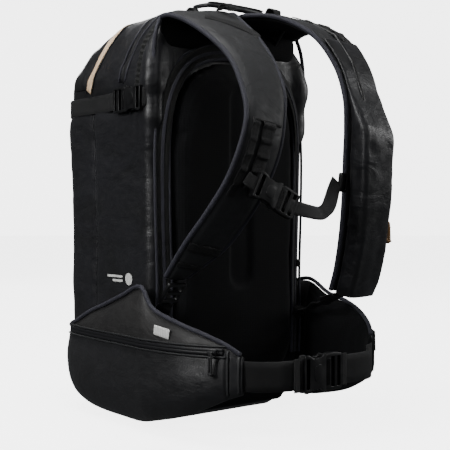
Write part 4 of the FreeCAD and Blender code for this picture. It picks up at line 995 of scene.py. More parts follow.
def padded_strap(name, strap, node, seed):
    """The strap's foam body with soft dents, and the bound piping along both edges."""
    loops, rows, columns = [], 190, 15
    for i in range(rows + 1):
        t = strap.last * i / rows
        middle, across, normal, half = strap.frame(t)
        top, under = [], []
        for j in range(columns + 1):
            s = -1 + 2 * j / columns
            p = middle + across * (s * half)
            dent = 0.9 * bumpy(p, 34, seed) + 0.4 * bumpy(p, 12, seed)
            inside = 1 - abs(s) ** 6
            top.append(p + normal * (strap.crown(s) + dent * inside + groove(abs(s) - 0.86, 0.05, 1.2)))
            under.append(p - normal * (strap.crown(s) * 0.9 - 0.5 * dent * inside))
        loops.append(top + under[::-1])
    vertices, faces = skin(loops)
    body = add_piece(name, vertices, faces, "strap_fabric", "pack")
    around = 2 * (columns + 1)
    body.data.materials.append(FINISH["pad_fabric"])
    for face in body.data.polygons:
        if all(columns < v % around for v in face.vertices if v < (rows + 1) * around):
            face.material_index = 1
    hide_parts(node)
    for tag, s in (("outer", -1.0), ("inner", 1.0)):
        rim = []
        for i in range(70):
            middle, across, normal, half = strap.frame(strap.last * i / 69)
            rim.append(middle + across * (s * (half + 0.4)) + normal * 1.0)
        cord(f"{name}_piping_{tag}", rim, 3.4, "piping", "pack", count=200, around=10)


def across_strap(name, strap, t0, t1, s0, s1, width, finish="webbing", rise=1.0, thick=1.4):
    """A short band of webbing sewn over the strap from one edge to the other."""
    spots = [strap.at(t0 + (t1 - t0) * i / 8, s0 + (s1 - s0) * i / 8, rise) for i in range(9)]
    return tape(name, [p for p, n in spots], [n for p, n in spots], width, thick, finish, "pack", count=30)


def along_strap(name, strap, t0, t1, s, width, finish="webbing", rise=1.0, thick=1.4, wave=None, count=40):
    """A band of webbing running down the strap."""
    spots = [strap.at(t0 + (t1 - t0) * i / 24, s, rise) for i in range(25)]
    return tape(name, [p for p, n in spots], [n for p, n in spots], width, thick, finish, "pack", count=count,
                wave=wave)


def straps():
    right, left = Strap(STRAP_RIGHT, 13), Strap(STRAP_LEFT, 13)
    padded_strap("shoulder_strap_right_foam", right, "shoulder_strap_right", 4.4)
    padded_strap("shoulder_strap_left_foam", left, "shoulder_strap_left", 8.8)
    # the right strap's chain of webbing loops, sewn flat between raised loops
    rail = along_strap("loop_webbing_right", right, 6.2, 8.2, 0.06, 21, rise=1.6, count=160,
                       wave=lambda u: 2.2 * max(math.sin(u * 2 * math.pi * 4.5), 0) ** 1.5)
    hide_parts("strap_webbing_right")
    along_strap("loop_webbing_right_edge", right, 6.1, 8.4, -0.62, 12, rise=0.8, count=90,
                wave=lambda u: 1.5 * max(math.sin(u * 2 * math.pi * 5), 0) ** 2)
    across_strap("strap_cross_band_right_top", right, 1.9, 3.0, -0.35, 1.0, 17, rise=0.9)
    across_strap("strap_cross_band_right_mid", right, 6.05, 6.3, -0.8, 0.75, 3.0, rise=1.2)
    across_strap("strap_cross_band_right_low", right, 9.95, 10.1, -0.9, 0.9, 14, rise=0.9)
    across_strap("strap_cross_band_right_foot", right, 10.5, 10.6, -0.9, 0.9, 9, rise=0.9)
    rail = along_strap("loop_webbing_left", left, 2.2, 4.2, -0.55, 20, rise=1.0, count=110,
                       wave=lambda u: 1.6 * max(math.sin(u * 2 * math.pi * 4), 0) ** 2)
    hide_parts("strap_webbing_left")
    across_strap("strap_cross_band_left_top", left, 2.6, 2.0, -1.0, 0.4, 17, rise=0.9)
    for name, strap in (("right", right), ("left", left)):
        middle, across, normal = strap.frame(1.15)[:3]
        loop = [middle + across * 26 + normal * 8, middle + across * 28 + normal * 15 + Vector((0, -8, 0)),
                middle + across * 30 + normal * 13 + Vector((0, -20, -2)), middle + across * 30 + normal * 7
                + Vector((0, -24, -4))]
        tape(f"strap_loop_{name}", loop, normal, 15, 1.6, "webbing", "pack", count=24)
    return left


def yoke(tree):
    """The yoke's quilted panel, and its piping that runs down the back corner of the bag."""
    low, high = corner("yoke_panel", 0), corner("yoke_panel", 1)
    loops = []
    for share, grow in ((0, 1.0), (0.3, 1.0), (0.8, 0.97), (1.0, 0.9), (1.0, 0.5), (1.0, 0.1)):
        ring = []
        for j in range(80):
            x, z = round_corners((high.x - low.x) / 2 * grow, (high.z - low.z) / 2 * grow, 16 * grow, j / 80)
            y = high.y + 2 - (high.y - low.y) * share + 0.8 * bumpy(Vector((x, 0, z)), 30, 6.6)
            ring.append(Vector((x, y, z + (low.z + high.z) / 2)))
        loops.append(ring)
    vertices, faces = skin(loops)
    panel = add_piece("yoke_quilting", vertices, faces, "pad_fabric", "pack")
    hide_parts("yoke_panel")
    for side, name in ((RIGHT, "right"), (LEFT, "left")):
        rim = [Vector((side * x, y, z)) for x, y, z in ((129, -116, 556), (137, -117, 536), (141, -118, 508),
                                                       (141, -118, 480), (138, -117, 450))]
        cord(f"yoke_piping_{name}", rim, 3.0, "piping", "pack", count=60, around=10)


# ---------------------------------------------------------------- trigger pouch
POUCH_DEEP = 30


def pouch(strap):
    """The zipped sleeve on the left strap: a sagging cloth bag with a pucker, and its long zip."""
    loops, rows, around = [], 120, 40
    first, last = 3.3, 10.98
    for i in range(rows + 1):
        t = first + (last - first) * i / rows
        middle, across, normal, half = strap.frame(t)
        u = i / rows
        ramp = min(max((t - 4.7) / 1.7, 0), 1)
        ends = 0.1 + 0.9 * ramp * ramp * (3 - 2 * ramp)
        ends *= min(1.0, ((1 - u) / 0.03 + 0.3)) ** 0.6
        deep = POUCH_DEEP * ends * (0.94 + 0.1 * math.sin(u * math.pi))
        centre = middle + normal * (6.5 + deep / 2)
        loop = []
        for j in range(around):
            x, y = round_corners(half - 0.5, deep / 2, min(7, deep / 2 - 0.4), j / around)
            p = centre + across * x + normal * y
            out = (across * (x / half) ** 5 + normal * (y / (deep / 2)) ** 3).normalized()
            fold = 1.8 * bumpy(Vector((p.x * 1.6, p.y, p.z * 0.45)), 36, 2.7) + 0.7 * bumpy(p, 14, 5.9)
            fold *= ramp * 0.8 + 0.2
            pucker = math.exp(-((t - 6.5) / 0.3) ** 2 - ((x - half + 8) / 9) ** 2) * 2.5 if y > 0 else 0
            loop.append(p + out * (fold - pucker))
        loops.append(loop)
    vertices, faces = skin(loops)
    bag = add_piece("trigger_pouch_cloth", vertices, faces, "flap_fabric", "pack")
    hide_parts("trigger_pouch")

    def edge(t, shift, rise):
        middle, across, normal, half = strap.frame(t)
        return middle + normal * (6.5 + POUCH_DEEP / 2 + shift) - across * (half + rise), -across

    spots = [edge(6.0 + 4.3 * i / 30, 0, 0.6) for i in range(31)]
    line = tape("pouch_zip_tape", [p for p, n in spots], [n for p, n in spots], 9, 1.5, "dark_zip", "pack",
                count=110)
    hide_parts("pouch_zip")
    for tag, shift in (("front", 9), ("rear", -7)):
        spots = [edge(6.3 + 4.4 * i / 30, shift, -0.8) for i in range(31)]
        cord(f"pouch_seam_{tag}", [p for p, n in spots], 1.4, "piping", "pack", count=110,
             around=8)


# ---------------------------------------------------------------- moulded hardware
SIDE_STRAP_WIDE = corner("compression_strap", 1).z - corner("compression_strap", 0).z


def place_at(origin, along, out):
    """The matrix that lays a moulding's x along one direction and its z along another, in metres."""
    x = Vector(along).normalized()
    z = Vector(out)
    z = (z - x * z.dot(x)).normalized()
    y = z.cross(x)
    turn = Matrix((x, y, z)).transposed().to_4x4()
    return Matrix.Translation(Vector(origin) * MM) @ turn


def rounded(points, radius, steps=4):
    """An outline with each corner turned into an arc."""
    out = []
    for i, point in enumerate(points):
        p = Vector(point)
        before, after = Vector(points[i - 1]) - p, Vector(points[(i + 1) % len(points)]) - p
        reach = min(radius, before.length * 0.45, after.length * 0.45)
        a, b = p + before.normalized() * reach, p + after.normalized() * reach
        for k in range(steps + 1):
            u = k / steps
            out.append(a * (1 - u) ** 2 + p * (2 * u * (1 - u)) + b * u ** 2)
    return out


def moulding(name, outlines, low, high, soften, place, finish, body):
    """A flat moulding between two levels, its first outline solid and the rest holes, with softened edges."""
    data = bpy.data.curves.new(name, "CURVE")
    data.dimensions, data.fill_mode = "2D", "BOTH"
    data.extrude, data.bevel_depth, data.offset = ((high - low) / 2 - soften) * MM, soften * MM, -soften * MM
    data.bevel_resolution = 2
    for outline in outlines:
        line = data.splines.new("POLY")
        line.points.add(len(outline) - 1)
        line.use_cyclic_u = True
        for point, (x, y) in zip(line.points, outline):
            point.co = (x * MM, y * MM, 0, 1)
    drawn = bpy.data.objects.new(name + "_outline", data)
    bpy.context.scene.collection.objects.link(drawn)
    bpy.context.view_layer.update()
    mesh = bpy.data.meshes.new_from_object(drawn.evaluated_get(bpy.context.evaluated_depsgraph_get()))
    bpy.data.objects.remove(drawn)
    mesh.transform(place @ Matrix.Translation((0, 0, (low + high) / 2 * MM)))
    mesh.materials.clear()
    mesh.materials.append(FINISH[finish])
    mesh.polygons.foreach_set("use_smooth", [True] * len(mesh.polygons))
    piece = bpy.data.objects.new(name, mesh)
    bpy.context.scene.collection.objects.link(piece)
    weld = modify(piece, "WELD", merge_threshold=0.02 * MM)
    weld.mode = "ALL"
    mesh.set_sharp_from_angle(angle=math.radians(38))
    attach(piece, body)
    return piece


def box_outline(x0, x1, y0, y1, radius):
    return rounded([Vector((x0, y0)), Vector((x1, y0)), Vector((x1, y1)), Vector((x0, y1))], radius)


def release_buckle(name, origin, along, out, sizes, bodies, nodes):
    """A side release buckle: the waisted socket with its two windows, and the plug with its sprung arms."""
    length, plug, half, thick = sizes
    place = place_at(origin, along, out)
    deep = thick / 2
    waist = half * 0.80
    profile = [(-length, -half), (-length * 0.78, -half), (-length * 0.62, -waist), (-length * 0.26, -waist),
               (-length * 0.1, -half), (0, -half)]
    outline = rounded([Vector(p) for p in profile + [(x, -y) for x, y in reversed(profile)]], half * 0.22)
    eye = box_outline(-length + 3, -length * 0.76, -half * 0.8, half * 0.8, 1.0)
    parts = []
    for tag, low, high in (("face", deep * 0.42, deep), ("back", -deep, -deep * 0.42)):
        parts.append(moulding(f"{name}_socket_{tag}", [outline, eye], low, high, 0.5, place, "buckle_plastic",
                              bodies[0]))
    rear = rounded([Vector(p) for p in ((-length, -half), (-length * 0.66, -half * 0.9),
                                        (-length * 0.66, half * 0.9),
                                        (-length, half))], half * 0.2)
    parts.append(moulding(f"{name}_socket_rear", [rear, eye], -deep * 0.9, deep * 0.9, 0.5, place,
                          "buckle_plastic",
                          bodies[0]))
    for sign, tag in ((1, "a"), (-1, "b")):
        rail = box_outline(-length * 0.14, -0.4, *sorted((sign * half * 0.97, sign * half * 0.82)), 0.6)
        parts.append(moulding(f"{name}_socket_rail_{tag}", [rail], -deep * 0.8, deep * 0.8, 0.3, place,
                              "buckle_plastic", bodies[0]))
    raised = rounded([Vector(p) for p in ((-length * 0.56, -waist * 0.5), (-length * 0.2, -waist * 0.66),
                                          (-length * 0.2, waist * 0.66), (-length * 0.56, waist * 0.5))],
                     half * 0.3)
    parts.append(moulding(f"{name}_socket_panel", [raised], deep - 0.3, deep + 0.35, 0.25, place,
                          "buckle_plastic",
                          bodies[0]))
    socket = joined(f"{name}_socket_moulding", parts)
    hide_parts(nodes[0])

    parts = []
    for sign, tag in ((1, "a"), (-1, "b")):
        bow = []
        for x, y in ((plug * 0.1, 0.66), (-length * 0.1, 0.70), (-length * 0.3, 0.86), (-length * 0.45, 0.93),
                     (-length * 0.55, 0.82)):
            bow.append(Vector((x, sign * half * y)))
        inner = [Vector((p.x + (0.5 if i == 4 else 0), p.y - sign * half * (0.2 if i < 3 else 0.26)))
                 for i, p in enumerate(bow)]
        arm = rounded(bow + inner[::-1], half * 0.12)
        parts.append(moulding(f"{name}_plug_arm_{tag}", [arm], -deep * 0.34, deep * 0.34, 0.3, place,
                              "buckle_plastic", bodies[1]))
    tongue = box_outline(-length * 0.48, plug * 0.1, -half * 0.12, half * 0.12, 1.5)
    parts.append(moulding(f"{name}_plug_tongue", [tongue], -deep * 0.34, deep * 0.34, 0.3, place,
                          "buckle_plastic",
                          bodies[1]))
    edge = [(0.6, -half * 0.94), (plug * 0.3, -half), (plug, -half * 0.96), (plug, half * 0.96),
            (plug * 0.3, half),
            (0.6, half * 0.94)]
    slots = [box_outline(plug * a, plug * (a + 0.19), -half * 0.8, half * 0.8, 0.9) for a in (0.34, 0.68)]
    parts.append(moulding(f"{name}_plug_frame", [rounded([Vector(p) for p in edge], half * 0.2)] + slots,
                          -deep * 0.8,
                          deep * 0.8, 0.6, place, "buckle_plastic", bodies[1]))
    for k, x in enumerate((0.08, 0.15, 0.22)):
        rib = box_outline(plug * x, plug * (x + 0.035), -half * 0.7, half * 0.7, 0.4)
        parts.append(moulding(f"{name}_plug_rib_{k}", [rib], deep * 0.75, deep * 0.95, 0.15, place,
                              "buckle_plastic",
                              bodies[1]))
    plugged = joined(f"{name}_plug_moulding", parts)
    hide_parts(nodes[1])


LADDER_LONG, LADDER_BAR = 33, 5


def ladder(name, origin, along, out, body, node):
    """A ladder lock: a three-bar frame with a lifted lip for the thumb."""
    low, high = corner(node, 0), corner(node, 1)
    half, long, bar = (high.x - low.x) / 2, LADDER_LONG, LADDER_BAR
    place = place_at(origin, along, out)
    edge = [(-bar / 2, -half), (long - bar / 2, -half * 0.94), (long - bar / 2, half * 0.94),
            (-bar / 2, half)]
    gap = (long - 3 * bar) / 2
    eyes = [box_outline(bar / 2 + i * (gap + bar), bar / 2 + gap + i * (gap + bar), -half + bar * 0.9,
                        half - bar * 0.9, 1.0) for i in range(2)]
    frame_part = moulding(f"{name}_frame", [rounded([Vector(p) for p in edge], 2.5)] + eyes, -2.4, 2.4, 0.7,
                          place,
                          "buckle_plastic", body)
    lip = box_outline(long - bar * 1.1, long + 1.2, -half * 0.8, half * 0.8, 2.0)
    lip_part = moulding(f"{name}_lip", [lip], 1.6, 4.2, 0.7, place, "buckle_plastic", body)
    whole = joined(f"{name}_moulding", [frame_part, lip_part])
    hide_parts(node)


def zip_slider(name, node, along, out, body):
    """A zip slider: two tapered plates with a bridge over the top."""
    low, high = corner(node, 0), corner(node, 1)
    origin = (low + high) / 2
    place = place_at(origin, along, out)
    shape = [(-6.2, -3.4), (1.5, -4.2), (5.6, -2.2), (5.6, 2.2), (1.5, 4.2), (-6.2, 3.4)]
    plates = [moulding(f"{name}_plate_{k}", [rounded([Vector(p) for p in shape], 2.0)], a, b, 0.35, place,
                       "slider_metal", body) for k, (a, b) in enumerate(((-2.4, -0.9), (-0.1, 1.2)))]
    bridge = [place @ (Vector((x, 0, z)) * MM) / MM for x,
              z in ((-4.6, 0.8), (-3.6, 2.6), (0, 3.2), (3.2, 2.5),
                                                               (4.2, 0.8))]
    side = (place.to_3x3() @ Vector((0, 0, 1)))
    plates.append(tape(f"{name}_bridge", bridge, side, 2.6, 0.9, "slider_metal", body, count=18))
    whole = joined(f"{name}_body", plates)
    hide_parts(node)


def cord_pull(name, node, out, body, finish, radius):
    """A loop of cord through the slider, its two runs held together by a sleeve and a knot."""
    low, high = corner(node, 0), corner(node, 1)
    out = Vector(out).normalized()
    across = Vector((0, 0, 1)).cross(out).normalized()
    middle = (low + high) / 2
    reach = high.z - low.z
    top = Vector((middle.x, middle.y, high.z)) - out * 0.6
    parts = []
    loop = []
    for drop, wide, rise in ((0.98, 0, 0), (0.93, 1.2, 0.2), (0.7, 1.15, 0.5), (0.4, 1.1, 0.3),
                             (0.1, 0.9, 0.1),
                             (-0.01, 0.5, 0.0), (-0.01, -0.5, 0.0), (0.1, -0.9, 0.1), (0.4, -1.1, 0.3),
                             (0.7, -1.15, 0.5), (0.93, -1.2, 0.2), (0.98, 0, 0)):
        loop.append(top - Vector((0, 0, drop * (reach - radius))) + across * (wide * radius) + out * rise)
    parts.append(cord(f"{name}_cord", loop, radius, finish, body, count=120, around=10))
    for tag, a, b, scale in (("knot", 0.86, 1.0, 1.5), ("sleeve", 0.16, 0.27, 1.25)):
        line = [top - Vector((0, 0, (a + (b - a) * i / 6) * (reach - radius))) for i in range(7)]
        loops = []
        for i, p in enumerate(line):
            bulge = math.sin(math.pi * (0.12 + 0.76 * i / 6)) ** 0.6
            loops.append([p + across * (2.0 * radius * scale * bulge * math.cos(t))
                          + out * (1.15 * radius * scale * bulge * math.sin(t)) for t in
                          (2 * math.pi * k / 16 for k in range(16))])
        vertices, faces = skin(loops)
        parts.append(add_piece(f"{name}_{tag}", vertices, faces, finish, body))
    whole = joined(f"{name}_loop", parts)
    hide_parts(node)


def along_of(joint):
    """A joint's axis as a direction."""
    for row in frame["joints"]:
        if row["name"] == joint:
            return Vector(row["axis"])


def hardware():
    """Buckles, ladder locks, zip sliders and their cord pulls."""
    low, high = corner("hip_buckle_socket", 0), corner("hip_buckle_socket", 1)
    plug_end = corner("hip_buckle_plug", 1).x
    mouth = Vector((high.x, (low.y + high.y) / 2, (low.z + high.z) / 2))
    hip = (high.x - low.x, plug_end - high.x, (high.z - low.z) / 2, high.y - low.y)
    release_buckle("hip_buckle", mouth, (1, 0, 0), (0, -1, 0), hip, ("pack", "hip_buckle_plug"),
                   ("hip_buckle_socket", "hip_buckle_plug"))
    for side, name in ((RIGHT, "right"), (LEFT, "left")):
        node = f"side_buckle_{name}_socket"
        low, high = corner(node, 0), corner(node, 1)
        mouth = Vector(((low.x + high.x) / 2, high.y, (low.z + high.z) / 2))
        small = (high.y - low.y, corner(f"side_buckle_{name}_plug", 1).y - high.y, (high.z - low.z) / 2,
                 high.x - low.x)
        release_buckle(f"side_buckle_{name}", mouth, (0, 1, 0), (side, 0, 0), small,
                       ("pack", f"side_plug_{name}"),
                       (node, f"side_buckle_{name}_plug"))
        tail = [(mouth.x, low.y + 1.5), (mouth.x - side * 1.0, low.y - 3),
                (side * (HALF_WIDE - 2), SHELL_LOW.y - 2),
                (side * (HALF_WIDE - 10), SHELL_LOW.y - 5)]
        strap = tape(f"side_tab_{name}", [Vector((x, y, mouth.z)) for x, y in tail],
                     [outward_of(Vector((x, y - 40, 0))) for x, y in tail], SIDE_STRAP_WIDE, 1.6, "webbing",
                     "pack", count=50)
        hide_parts("side_tabs")
    along = along_of("sternum_release")
    out = (Vector((0, -1, 0)) - along * -along.y).normalized()
    centre = (corner("sternum_buckle_socket", 0) + corner("sternum_buckle_socket", 1)) / 2
    release_buckle("sternum_buckle", centre + along * small[0] / 2, along, out, small,
                   ("sternum", "sternum_plug"),
                   ("sternum_buckle_socket", "sternum_buckle_plug"))
    for name, origin, foot in (("right", (-136, -163, 195), (-0.03, 0.64, -0.77)),
                               ("left", (115, -221, 174), (0.1, 0.95, -0.29))):
        away = Vector(foot).cross(Vector((1, 0, 0)))
        ladder(f"ladder_lock_{name}", origin, foot, away * -1, f"ladder_{name}", f"ladder_lock_{name}")
    for name, joint, out, body in (("hip_slider_right", "hip_zip_right_slide", (-1, -0.22, 0),
                                    "hip_slider_right"),
                                   ("hip_slider_left", "hip_zip_left_slide", (1, -0.16, 0),
                                    "hip_slider_left"),
                                   ("pouch_slider", "pouch_zip_slide", (1, 0, 0), "pouch_slider"),
                                   ("back_slider", "back_zip_slide", (0, -1, 0), "back_slider"),
                                   ("front_slider", "front_zip_slide", (1, 0, 0), "front_slider"),
                                   ("airbag_slider", "airbag_zip_slide", (1, 0, 0), "airbag_slider")):
        zip_slider(name, name, along_of(joint), out, body)
    cord_pull("hip_pull_right", "hip_pull_right", (-1, -0.22, 0), "hip_pull_right", "dark_pull", 1.5)
    cord_pull("hip_pull_left", "hip_pull_left", (1, -0.16, 0), "hip_pull_left", "dark_pull", 1.5)
    cord_pull("pouch_pull", "pouch_pull", (1, 0, 0), "pouch_pull", "tan_pull", 2.3)


# ---------------------------------------------------------------- webbing over joints


def compression():
    """The strap round the front of the bag, in two halves."""
    for side, name in ((RIGHT, "right"), (LEFT, "left")):
        end = corner(f"side_buckle_{name}_plug", 1).y
        x = (corner(f"side_buckle_{name}_plug", 0).x + corner(f"side_buckle_{name}_plug", 1).x) / 2
        route = [(x, end - 5), (x, end + 3), (side * (HALF_WIDE + 1), end + 30),
                 (side * (HALF_WIDE + 1.5), 40),
                 (side * (HALF_WIDE + 0.5), 76), (side * (HALF_WIDE - 4), 97), (side * (HALF_WIDE - 16), 111),
                 (side * (HALF_WIDE - 38), 118), (side * 60, 119), (side * -1.5, 119.5)]
        points = [Vector((px, py, STRAP_LEVEL)) for px, py in route]
        ups = [Vector((px, max(py, 0) * 1.2 * (1 if py > 70 else 0.15), 0)).normalized() for px, py in route]
        strap = tape(f"compression_strap_{name}", points, ups, SIDE_STRAP_WIDE, 1.6, "webbing", None,
                     count=150)
        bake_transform(strap)
        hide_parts("compression_strap")


def chest_strap():
    """The chest strap's clips, and its slack webbing that turns over on its way to the left clip."""
    along = along_of("sternum_release")
    socket_low = (corner("sternum_buckle_socket", 0) + corner("sternum_buckle_socket", 1)) / 2
    plug = (corner("sternum_buckle_plug", 0) + corner("sternum_buckle_plug", 1)) / 2
    box_high = corner("sternum_webbing", 1)
    start = plug + along * 12
    left_end = Vector((box_high.x - 2, box_high.y - 4, box_high.z - 8))
    route = [start, start + along * 12 + Vector((0, -2, 0)), Vector((-10, -298, 290)), Vector((4, -297, 293)),
             Vector((17, -293, 301)), left_end + Vector((-9, -4, -9)), left_end]
    out = Vector((0, -1, 0))
    ups = [out, out, Vector((0.1, -1, 0.3)), Vector((-0.2, -0.8, 0.6)), Vector((-0.5, -0.8, 0.4)),
           Vector((-0.4, -1, 0)), Vector((-0.3, -1, 0))]
    strap = tape("sternum_webbing_strap", route, ups, 19, 1.6, "webbing", None, count=110)
    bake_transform(strap)
    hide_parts("sternum_webbing")
    tail = [socket_low - along * 10, socket_low - along * 22 + Vector((0, 1.5, 0)),
            socket_low - along * 30 + Vector((0, 4, 2))]
    tape("sternum_socket_webbing", tail, out, 19, 1.8, "webbing", "sternum", count=30)
    clips = []
    for name, strap_side, t, turn in (("right", STRAP_RIGHT, 8.1, 8), ("left", STRAP_LEFT, 7.6, 41)):
        band = Strap(strap_side, 13)
        middle, across, normal = band.frame(t)[:3]
        down = normal.cross(across)
        rise = 11.6 if name == "right" else 7
        spot = middle + across * turn + normal * rise
        place = place_at(spot, down, normal)
        outline = box_outline(-13, 13, -7, 7, 3.0)
        eye = box_outline(-9.5, 9.5, 0.8, 3.6, 1.0)
        clips.append(moulding(f"sternum_clip_{name}_frame", [outline, eye], -3, 3, 0.8, place,
                              "buckle_plastic",
                              "sternum"))
        grip = box_outline(-10.5, 10.5, -5.6, -3.4, 0.9)
        clips.append(moulding(f"sternum_clip_{name}_grip", [grip], 2.6, 3.8, 0.3, place, "buckle_plastic",
                              "sternum"))
    whole = joined("sternum_clip_mouldings", clips)
    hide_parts("sternum_clips")


def lower_straps():
    """The webbing from each ladder lock down to the foot of the back, slack and creased on the left."""
    for name, route, folds in (
            ("right", [(-137, -142, 170), (-136, -134, 163), (-131, -124, 156), (-129, -119, 147),
                       (-128, -116, 138)], 0.6),
            ("left",
             [(118, -204, 168), (120, -192, 163), (122, -176, 158), (124, -160, 152), (124, -144, 148),
                      (123, -128, 142), (122, -118, 130)], 2.4)):
        points = [Vector(p) for p in route]
        ups = [Vector((0.1, -0.5, 1)).normalized()] * (len(points) - 2) + [Vector((0, -1, 0.4)),
                                                                           Vector((0, -1, 0))]
        strap = tape(f"lower_webbing_{name}_strap", points, ups, 20, 1.6, "webbing", None, count=90,
                     wave=lambda u: folds * math.sin(u * 17) * math.sin(math.pi * u))
        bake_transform(strap)
        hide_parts(f"lower_webbing_{name}")


# ---------------------------------------------------------------- handle, labels and inside parts


def handle():
    """The carrying handle: a padded loop of webbing lying over the yoke, between two sewn tabs."""
    low, high = corner("grab_handle", 0), corner("grab_handle", 1)
    level = (low.z + high.z) / 2 - 2.5
    half = high.x - 6
    points = [Vector(p) for p in ((-half, high.y - 2, level), (-half - 0.5, high.y - 14, level),
                                  (-half + 5, low.y + 6, level),
                                  (-half + 20, low.y + 4.6, level + 0.8), (0, low.y + 4.2, level + 1.2),
                                  (half - 20, low.y + 4.6, level + 0.8), (half - 5, low.y + 6, level),
                                  (half + 0.5, high.y - 14, level), (half, high.y - 2, level))]
    loop = cord("grab_handle_roll", points, 4.4, "shell_fabric", "grab_handle", count=110, around=14,
                taper=lambda u: 0.72 + 0.3 * math.exp(-((u - 0.5) / 0.26) ** 4))
    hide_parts("grab_handle")
    flat = [p + Vector((0, 0, 4.2)) for p in points[2:-2]]
    tape("grab_handle_binding", flat, Vector((0, 0, 1)), 7, 1.2, "webbing", "grab_handle", count=60)
    tabs = []
    for side, name in ((RIGHT, "right"), (LEFT, "left")):
        x = side * (half + 5.4)
        spots = [(x, high.y - 14, SHELL_HIGH.z - 4), (x, high.y - 9, SHELL_HIGH.z + 1),
                 (x, high.y - 2, SHELL_HIGH.z + 3),
                 (x, high.y + 4, SHELL_HIGH.z + 1), (x, high.y + 7, SHELL_HIGH.z - 3)]
        ups = [Vector((0, -1, 0.6)), Vector((0, -0.7, 1)), Vector((0, 0, 1)), Vector((0, 0.7, 1)),
               Vector((0, 1, 0.6))]
        tabs.append(tape(f"handle_tab_{name}", [Vector(p) for p in spots], ups, 9, 3.0, "webbing", "pack",
                         count=30))
    whole = joined("handle_tabs", tabs)
    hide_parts("handle_cheeks")


def labels(wings):
    """A blank woven label on the right wing."""
    spots = []
    for i in range(7):
        spots.append(wings["right"].at(7.3 + 0.5 * i / 6, 139 - i * 0.7, 0.9))
    tag = tape("woven_label_cloth", [p for p, n in spots], [n for p, n in spots], 13, 0.9, "label", "pack",
               count=30)
    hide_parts("woven_label")


def printed_marks(tree):
    """A plain white disc and two plain bars printed low on the right side panel."""
    def lifted_disc(name, middle_y, level, half_long, half_tall, power):
        loop, count = [], 40
        for ring in (1.0, 0.6, 0.2):
            row = []
            for k in range(count):
                a = 2 * math.pi * k / count
                c, d = math.cos(a), math.sin(a)
                y = middle_y + half_long * ring * math.copysign(abs(c) ** power, c)
                z = level + half_tall * ring * math.copysign(abs(d) ** power, d)
                hit, out = on_bag(tree, (0, y, z), (-1, 0, 0))
                row.append(hit + out * 0.5)
            loop.append(row)
        vertices, faces = skin(loop)
        add_piece(name, vertices, [f for f in faces if len(f) == 4 or f[0] == len(vertices) - 1], "print",
                  "pack")
    lifted_disc("printed_disc", -59, 198, 8.5, 8.5, 1.0)
    lifted_disc("printed_bar_long", -24, 201, 20, 1.7, 0.4)
    lifted_disc("printed_bar_short", -31, 195, 13, 1.7, 0.4)


def inside_parts():
    """The folded airbag and the bottle's hoop, both out of sight behind the zips."""
    low, high = corner("airbag_folded", 0), corner("airbag_folded", 1)
    loops = []
    size = high - low
    for i in range(61):
        u = i / 60
        ends = min(1.0, (min(u, 1 - u) / 0.05 + 0.2)) ** 0.5
        ring = []
        for j in range(48):
            y, z = round_corners(size.y / 2 * ends, size.z / 2 * ends, 14 * ends, j / 48)
            pleat = 1 - 0.04 * abs(math.sin(z / size.z * math.pi * 5)) - 0.03 * abs(math.sin(u * 40))
            ring.append(Vector((low.x + size.x * u, (low.y + high.y) / 2 + y * pleat, (low.z + high.z) / 2
                                + z * (0.96 + 0.04 * math.sin(u * 23)))))
        loops.append(ring)
    vertices, faces = skin(loops)
    bag = add_piece("airbag_folded_cloth", vertices, faces, "airbag_fabric", "pack")
    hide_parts("airbag_folded")
    low, high = corner("bottle_strap", 0), corner("bottle_strap", 1)
    centre, radius = (low + high) / 2, (high.x - low.x) / 2 - 1.1
    ring = [centre + Vector((radius * math.cos(a), radius * math.sin(a), 0)) for a in
            (2 * math.pi * k / 24 for k in range(25))]
    hoop = tape("bottle_strap_webbing", ring, [(p - centre).normalized() for p in ring], high.z - low.z, 1.6,
                "webbing", "pack", count=120)
    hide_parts("bottle_strap")


CARRIED = {
    "bottle_metal": ("gas_bottle",), "head_metal": ("inflator_head",), "steel": ("lever_pin",),
    "trigger_plastic": ("trigger_handle", "firing_lever"), "cable_cover": ("trigger_cable",),
    "frame_plastic": ("frame_sheet",), "stay_metal": ("frame_stays",),
}


def finish_frame():
    """Gives every CAD node that stays its own finish."""
    for finish, nodes in CARRIED.items():
        for node in nodes:
            thing = frame["nodes"][node]
            for index in range(len(thing.material_slots)):
                thing.material_slots[index].link = "OBJECT"
                thing.material_slots[index].material = FINISH[finish]


# ---------------------------------------------------------------- room and light
FLOOR_REACH = 14.0
FLOOR_GLOW, SURROUND_GLOW, FILL = 4.2, 4.6, 0.10
SOFT_BOXES = [("soft_box_above", (-0.5, -0.2, 2.4), 1.2, 40), ("soft_box_left", (-2.4, -0.2, 1.3), 0.9, 44),
              ("soft_box_front", (-0.6, -2.9, 1.5), 1.0, 8), ("soft_box_right", (2.4, -1.4, 1.1), 0.9, 26),
              ("soft_box_rear", (0.8, 2.6, 1.6), 1.2, 18)]


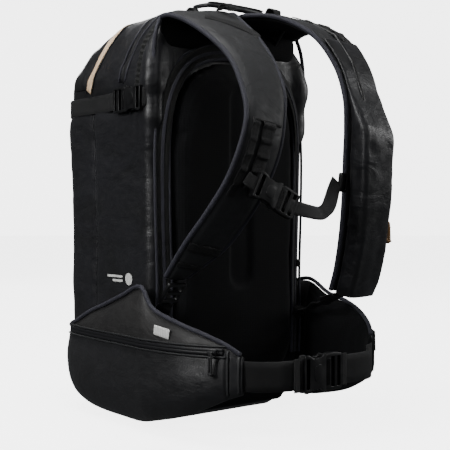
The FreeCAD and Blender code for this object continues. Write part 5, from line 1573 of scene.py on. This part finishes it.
def room():
    """A pale floor, soft boxes above and to either side, and a white surround that only the camera sees."""
    mesh = bpy.data.meshes.new("studio_floor")
    work = bmesh.new()
    bmesh.ops.create_grid(work, x_segments=40, y_segments=40, size=FLOOR_REACH)
    work.to_mesh(mesh)
    work.free()
    floor = bpy.data.objects.new("studio_floor", mesh)
    bpy.context.scene.collection.objects.link(floor)
    floor.location.z = -0.5 * MM
    paper = Surface("matt_white_paper", 0.9, specular=0.1)
    grain = paper.node("TexNoise", {"Vector": paper.place("Object", per_mm(40)), "Scale": 1.0, "Detail": 2.0})
    paper.shader.inputs["Emission Color"].default_value = (1, 1, 1, 1)
    paper.shader.inputs["Emission Strength"].default_value = FLOOR_GLOW
    mesh.materials.append(paper.finish(paper.ramp(grain.outputs["Fac"], 0.3, 0.7, "#f4f4f4", "#f9f9f9")))
    floor.visible_diffuse = False
    floor.visible_glossy = False
    mesh = bpy.data.meshes.new("studio_surround")
    work = bmesh.new()
    bmesh.ops.create_icosphere(work, subdivisions=4, radius=FLOOR_REACH * 0.98)
    work.to_mesh(mesh)
    work.free()
    mesh.polygons.foreach_set("use_smooth", [True] * len(mesh.polygons))
    surround = bpy.data.objects.new("studio_surround", mesh)
    bpy.context.scene.collection.objects.link(surround)
    paper = Surface("lit_white_backdrop", 1.0, specular=0.0)
    cloud = paper.node("TexNoise",
                       {"Vector": paper.place("Object", per_mm(4000)), "Scale": 1.0, "Detail": 1.0})
    paper.tree.links.new(paper.ramp(cloud.outputs["Fac"], 0.3, 0.7, "#fdfdfd", "#ffffff"),
                         paper.shader.inputs["Emission Color"])
    paper.shader.inputs["Emission Strength"].default_value = SURROUND_GLOW
    mesh.materials.append(paper.finish())
    for ray in ("visible_diffuse", "visible_glossy", "visible_transmission", "visible_shadow"):
        setattr(surround, ray, False)
    world = bpy.data.worlds.new("soft_fill")
    bpy.context.scene.world = world
    world.use_nodes = True
    world.node_tree.nodes["Background"].inputs["Color"].default_value = (0.93, 0.96, 1, 1)
    world.node_tree.nodes["Background"].inputs["Strength"].default_value = FILL
    for name, place, size, power in SOFT_BOXES:
        data = bpy.data.lights.new(name, "AREA")
        data.size, data.energy = size, power
        light = bpy.data.objects.new(name, data)
        bpy.context.scene.collection.objects.link(light)
        light.location = place
        light.rotation_euler = (Vector((0, -0.05, 0.3)) - Vector(place)).to_track_quat("-Z", "Y").to_euler()


tree = split_bag()
bag_trim(tree)
seam_down_sides(tree)
back_panel()
lumbar()
wings = {"right": hip_wing(RIGHT, "right", WING_RIGHT), "left": hip_wing(LEFT, "left", WING_LEFT)}
belt(wings)
left_strap = straps()
yoke(tree)
pouch(left_strap)
hardware()
compression()
chest_strap()
lower_straps()
handle()
labels(wings)
printed_marks(tree)
inside_parts()
finish_frame()
room()
